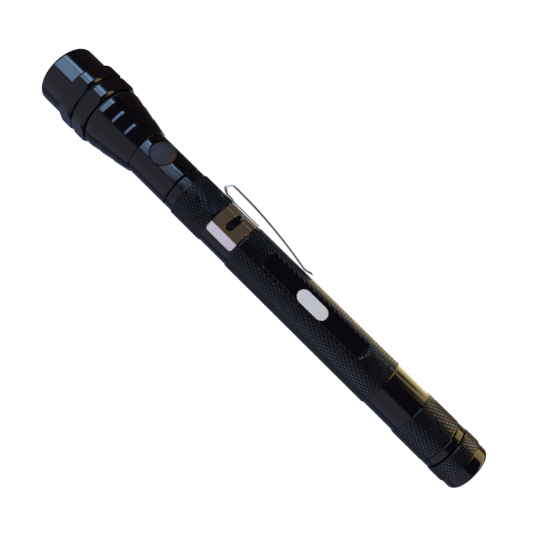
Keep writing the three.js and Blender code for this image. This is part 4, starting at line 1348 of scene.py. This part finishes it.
class FLASHLIGHT_OT_bezel(bpy.types.Operator):
    """Turn the bezel with its two six-sided rings and plain nose, and lay the ring behind it"""

    bl_idname = "flashlight.bezel"
    bl_label = "Bezel"

    def execute(self, context):
        nose_rear = RIM - BEZEL_ROUNDING
        nose_radius = BEZEL_RADIUS - BEZEL_ROUNDING
        outside = soften([
            [BEZEL_REAR, BEZEL_BORE], *hex_ring(BEZEL_REAR, HEX_GROOVE_REAR),
            [(HEX_GROOVE_REAR + HEX_GROOVE_FRONT) / 2, HEX_GROOVE],
            *hex_ring(HEX_GROOVE_FRONT, HEX_FRONT), [HEX_FRONT, BEZEL_RADIUS],
            [nose_rear, BEZEL_RADIUS],
        ], BEZEL_EDGE, BEZEL_EDGE_STEPS)
        nose = arc(nose_rear, nose_radius, BEZEL_ROUNDING, QUARTER_TURN, 0, BEZEL_ROUNDING_STEPS)
        inside = soften([
            [RIM, nose_radius], [RIM, LIP_RADIUS], [LIP_REAR, LIP_RADIUS], [LIP_REAR, BEZEL_BORE],
            [BEZEL_REAR, BEZEL_BORE],
        ], BEZEL_EDGE, BEZEL_EDGE_STEPS)
        outline = np.concatenate([outside[:-1], nose, inside[1:-1]])
        last = len(outline) - 1
        step = np.linspace(0, last, BEZEL_PARTS * last + 1)
        x, radius = (np.interp(step, np.arange(last + 1), column) for column in outline.T)
        edge = math.acos(HEX_FLAT / HEX_CORNER)
        sector = FULL_TURN / HEX_SIDES
        local = np.concatenate([
            np.linspace(-edge, edge, FLAT_COLUMNS, endpoint=False),
            np.linspace(edge, sector - edge, CORNER_COLUMNS, endpoint=False),
        ])
        angle = (np.arange(HEX_SIDES)[:, None] * sector + local).reshape(-1)
        flat = HEX_FLAT / np.cos(np.mod(angle + sector / 2, sector) - sector / 2)
        is_outside = (step < len(outside)) & (radius > BEZEL_BORE)
        limit = np.where(is_outside[:, None], flat, np.inf)
        points = around(x[:, None], np.minimum(radius[:, None], limit), angle)
        piece("bezel_shell", [(points, grid_faces(len(x), len(angle), loop=True))], "head",
              stock("anodised_turned"), ["head_bezel"], sharp=16)
        middle = (TAPER_FRONT + BEZEL_REAR) / 2
        round_wire = arc(middle, RING_MIDDLE, RING_WIRE, 0, FULL_TURN, RING_STEPS)[:-1]
        piece("sealing_ring", [turned(round_wire, RING_SIDES, loop=True)], "head",
              stock("rubber_ring"), ["bezel_o_ring"])
        return {"FINISHED"}


class FLASHLIGHT_OT_button(bpy.types.Operator):
    """Mould the rubber button: flange, skirt, rounded shoulder and a crown with fine rings"""

    bl_idname = "flashlight.button"
    bl_label = "Button"

    def execute(self, context):
        crown = BUTTON_TOP + BUTTON_CROWN
        radius = np.linspace(BUTTON_RADIUS - BUTTON_SHOULDER, 0, BUTTON_ROWS)
        dome = crown - BUTTON_DOME * (radius / BUTTON_RADIUS) ** BUTTON_DOME_POWER
        rings = RELIEF_HEIGHT * np.sin(radius * FULL_TURN / RELIEF_PITCH)
        is_ringed = (radius > RELIEF_INNER) & (radius < BUTTON_RADIUS - RELIEF_MARGIN)
        top = np.stack([dome - RELIEF_HEIGHT + np.where(is_ringed, rings, 0), radius], axis=-1)
        foot = [
            [BUTTON_FLANGE_LOW, 0], [BUTTON_FLANGE_LOW, BUTTON_FLANGE],
            [BUTTON_FLANGE_TOP, BUTTON_FLANGE], [BUTTON_FLANGE_TOP, BUTTON_RADIUS],
            [crown - BUTTON_DOME - BUTTON_SHOULDER, BUTTON_RADIUS],
        ]
        # The outline of (height, r) is turned round the button's own line
        outline = np.concatenate([foot, top])
        height, reach = outline[:, :1], outline[:, 1:]
        turn = all_round(BUTTON_SIDES)
        points = facing(BUTTON_X + reach * np.cos(turn), reach * np.sin(turn), height, BUTTON_ANGLE)
        piece("button_dome", [(points, grid_faces(len(outline), BUTTON_SIDES))], "button",
              stock("rubber_button"), ["button_cap"])
        return {"FINISHED"}


class FLASHLIGHT_OT_light(bpy.types.Operator):
    """Set the three clear LEDs with their reflectors and chips, and the magnet between them"""

    bl_idname = "flashlight.light"
    bl_label = "Light"

    def execute(self, context):
        body = [
            [LED_BASE, 0], [LED_BASE, LED_FLANGE], [LED_FLANGE_FRONT, LED_FLANGE],
            [LED_FLANGE_FRONT, LED_RADIUS],
        ]
        dome = arc(LED_DOME, 0, LED_RADIUS, QUARTER_TURN, 0, LED_DOME_STEPS)
        lamp = turned(np.concatenate([soften(body, LED_EDGE), dome]), LED_SIDES)
        collar_bore = LED_RADIUS + COLLAR_GAP
        collar_rear = PLATE_FRONT - COLLAR_SINK
        collar_front = PLATE_FRONT + COLLAR_RISE
        collar = turned(soften([
            [PLATE_FRONT, collar_bore], [collar_rear, collar_bore],
            [collar_rear, COLLAR_RADIUS - COLLAR_TAPER], [PLATE_FRONT, COLLAR_RADIUS],
            [collar_front, COLLAR_RADIUS], [collar_front, LED_RADIUS + COLLAR_TAPER],
        ], COLLAR_EDGE, ring=True), COLLAR_SIDES, loop=True)
        chip = turned(soften([
            [LED_FLANGE_FRONT, 0], [LED_FLANGE_FRONT, CHIP_REAR_RADIUS],
            [CHIP_FRONT, CHIP_FRONT_RADIUS], [CHIP_FRONT, 0],
        ], LED_EDGE), CHIP_SIDES)
        for number, turn in enumerate(all_round(LED_COUNT), 1):
            shift = around(0, LED_CIRCLE, turn)
            for name, (points, faces), slot, finish_name, nodes in (
                ("lamp", lamp, "led", "clear_resin", [f"led_{number}"]),
                ("lamp_collar", collar, "chrome", "reflector", []),
                ("lamp_chip", chip, "led", "phosphor", []),
            ):
                piece(f"{name}_{number}", [(points + shift, faces)], "head", stock(finish_name),
                      nodes)
        magnet = disc(LED_BASE, MAGNET_FACE, MAGNET_RADIUS, MAGNET_EDGE)
        piece("head_magnet_disc", [magnet], "head", stock("nickel"), ["head_magnet"])
        return {"FINISHED"}


class FLASHLIGHT_OT_inside(bpy.types.Operator):
    """Give the plate, board, cells, contacts and switch their finishes"""

    bl_idname = "flashlight.inside"
    bl_label = "Inner pieces"

    def execute(self, context):
        for name, nodes in INNER_PIECES.items():
            for node in nodes:
                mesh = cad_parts[node].data
                mesh.materials.clear()
                mesh.materials.append(stock(name))
        return {"FINISHED"}


def soft_panel(name, place, emit, size, radiance):
    """A soft panel lamp that shines along emit, with its first side along X.

    Its power is pi times its area times its radiance, whose largest part is the lamp's brightness.
    """
    lamp = bpy.data.lights.new(name, "AREA")
    lamp.shape = "RECTANGLE"
    lamp.size, lamp.size_y = size
    peak = max(radiance)
    lamp.color = shaded(radiance, 1 / peak)
    lamp.energy = math.pi * size[0] * size[1] * peak
    obj = put(name, lamp)
    back = -Vector(emit).normalized()
    first = Vector((1, 0, 0))
    turn = Matrix((first, back.cross(first), back)).transposed()
    obj.matrix_world = Matrix.Translation(place) @ turn.to_4x4()
    obj.visible_camera = False
    return obj


def flat_sheet(name, x_ends, y_ends, height, material):
    """A level rectangle of the stage between two ends along X and two along Y."""
    corners = [
        (x_ends[0], y_ends[0], height), (x_ends[0], y_ends[1], height),
        (x_ends[1], y_ends[1], height), (x_ends[1], y_ends[0], height),
    ]
    mesh = bpy.data.meshes.new(name)
    mesh.from_pydata(corners, [], [(0, 1, 2, 3)])
    mesh.materials.append(material)
    obj = put(name, mesh)
    return obj


def ray_mask(tree, *kinds):
    """A mask that is 1 for rays of the given kinds: the largest of their marks."""
    path = tree.nodes.new("ShaderNodeLightPath")
    mask = path.outputs[kinds[0]]
    for kind in kinds[1:]:
        larger = add_node(tree, "ShaderNodeMath", operation="MAXIMUM")
        wire(tree, (mask, larger.inputs[0]), (path.outputs[kind], larger.inputs[1]))
        mask = larger.outputs[0]
    return mask


def ray_split(tree, mask, others, masked, leave):
    """Send one shader to the rays that a mask names and another to all others."""
    mix = tree.nodes.new("ShaderNodeMixShader")
    wire(
        tree,
        (mask, mix.inputs["Fac"]),
        (others, mix.inputs[1]),
        (masked, mix.inputs[2]),
        (mix.outputs[0], leave.inputs["Surface"]),
    )


def floor_material():
    """A pale floor: plain diffuse to the room, and white less its shadow to camera, mirror and glass."""
    material, tree = new_material("pale_floor")
    tree.nodes.clear()
    leave = tree.nodes.new("ShaderNodeOutputMaterial")
    plain = add_node(tree, "ShaderNodeBsdfDiffuse", inputs={"Color": (*FLOOR_COLOUR, 1)})
    seen = add_node(tree, "ShaderNodeBsdfDiffuse", inputs={"Color": (*FLOOR_SEEN_COLOUR, 1)})
    glow = add_node(tree, "ShaderNodeEmission", inputs={"Color": (*FLOOR_GLOW, 1)})
    lit = tree.nodes.new("ShaderNodeAddShader")
    wire(tree, (seen.outputs[0], lit.inputs[0]), (glow.outputs[0], lit.inputs[1]))
    mask = ray_mask(tree, "Is Camera Ray", "Is Glossy Ray", "Is Transmission Ray")
    ray_split(tree, mask, plain.outputs[0], lit.outputs[0], leave)
    return material


def card_material(name, colour):
    """A plain glow of one colour for a card: a painted reflection that only mirrors show."""
    material, tree = new_material(name)
    tree.nodes.clear()
    leave = tree.nodes.new("ShaderNodeOutputMaterial")
    glow = add_node(tree, "ShaderNodeEmission", inputs={"Color": (*colour, 1)})
    wire(tree, (glow.outputs[0], leave.inputs["Surface"]))
    return material


def room_world(strength):
    """The room: a warm dim light all round, and white to the camera and through glass."""
    world = bpy.data.worlds.new("room")
    world.use_nodes = True
    tree = world.node_tree
    tree.nodes.clear()
    leave = tree.nodes.new("ShaderNodeOutputWorld")
    room = add_node(
        tree, "ShaderNodeBackground", inputs={"Color": (*ROOM_COLOUR, 1), "Strength": strength},
    )
    white = add_node(tree, "ShaderNodeBackground", inputs={"Color": (1, 1, 1, 1)})
    mask = ray_mask(tree, "Is Camera Ray", "Is Transmission Ray")
    ray_split(tree, mask, room.outputs[0], white.outputs[0], leave)
    return world


class FLASHLIGHT_OT_stage(bpy.types.Operator):
    """Set the pale floor, the soft panels, the cards of painted reflection, the room and the camera"""

    bl_idname = "flashlight.stage"
    bl_label = "Stage"

    def execute(self, context):
        scene = context.scene
        stage = scene.flashlight_stage
        ends = (-FLOOR_HALF, FLOOR_HALF)
        flat_sheet("floor", ends, ends[::-1], CAD_LOW.z, floor_material())
        for name, place, emit, size, is_diffuse in PANELS:
            lamp = soft_panel(name, place, emit, size, getattr(stage, name))
            lamp.visible_diffuse = is_diffuse
        for name, x_ends, y_ends, colour in CARDS:
            # Each card glows only in reflections: a painted reflection that casts no light and no shadow
            card = flat_sheet(name, x_ends, y_ends, CAD_LOW.z + CARD_LIFT, card_material(name, colour))
            card.visible_camera = False
            card.visible_diffuse = False
            card.visible_transmission = False
            card.visible_shadow = False
        scene.world = room_world(stage.fill_light)
        view = bpy.data.cameras.new("view")
        view.sensor_width = SENSOR_WIDTH
        view.lens = stage.focal_length
        view.clip_start = NEAREST_VIEW
        camera = put("view", view)
        camera.location = stage.camera_place
        camera.rotation_euler = stage.camera_turn
        scene.camera = camera
        scene.view_settings.view_transform = "Standard"
        return {"FINISHED"}


OPERATORS = (
    FLASHLIGHT_OT_stage,
    FLASHLIGHT_OT_handle,
    FLASHLIGHT_OT_label,
    FLASHLIGHT_OT_tail,
    FLASHLIGHT_OT_clip,
    FLASHLIGHT_OT_mast,
    FLASHLIGHT_OT_neck,
    FLASHLIGHT_OT_head,
    FLASHLIGHT_OT_bezel,
    FLASHLIGHT_OT_button,
    FLASHLIGHT_OT_light,
    FLASHLIGHT_OT_inside,
)
SETTINGS = {
    "flashlight_handle": FlashlightHandle,
    "flashlight_finishes": FlashlightFinishes,
    "flashlight_stage": FlashlightStage,
}


class FLASHLIGHT_PT_parts(bpy.types.Panel):
    """Lists the flashlight's settings and the operators that make its pieces"""

    bl_idname = "FLASHLIGHT_PT_parts"
    bl_label = "Flashlight"
    bl_space_type = "VIEW_3D"
    bl_region_type = "UI"
    bl_category = "Flashlight"

    def draw(self, context):
        for name, group in SETTINGS.items():
            box = self.layout.box()
            for label in group.__annotations__:
                box.prop(getattr(context.scene, name), label)
        for operator in OPERATORS:
            self.layout.operator(operator.bl_idname)


CLASSES = (*SETTINGS.values(), *OPERATORS, FLASHLIGHT_PT_parts)


def register():
    """Register the classes and hang the settings on the scene."""
    for entry in CLASSES:
        bpy.utils.register_class(entry)
    for name, group in SETTINGS.items():
        setattr(bpy.types.Scene, name, PointerProperty(type=group))


def unregister():
    """Take the settings off the scene and unregister the classes."""
    for name in SETTINGS:
        delattr(bpy.types.Scene, name)
    for entry in reversed(CLASSES):
        bpy.utils.unregister_class(entry)


def main():
    """Make every piece and the stage."""
    register()
    for operator in OPERATORS:
        group, name = operator.bl_idname.split(".")
        getattr(getattr(bpy.ops, group), name)()


if __name__ == "__main__":
    main()
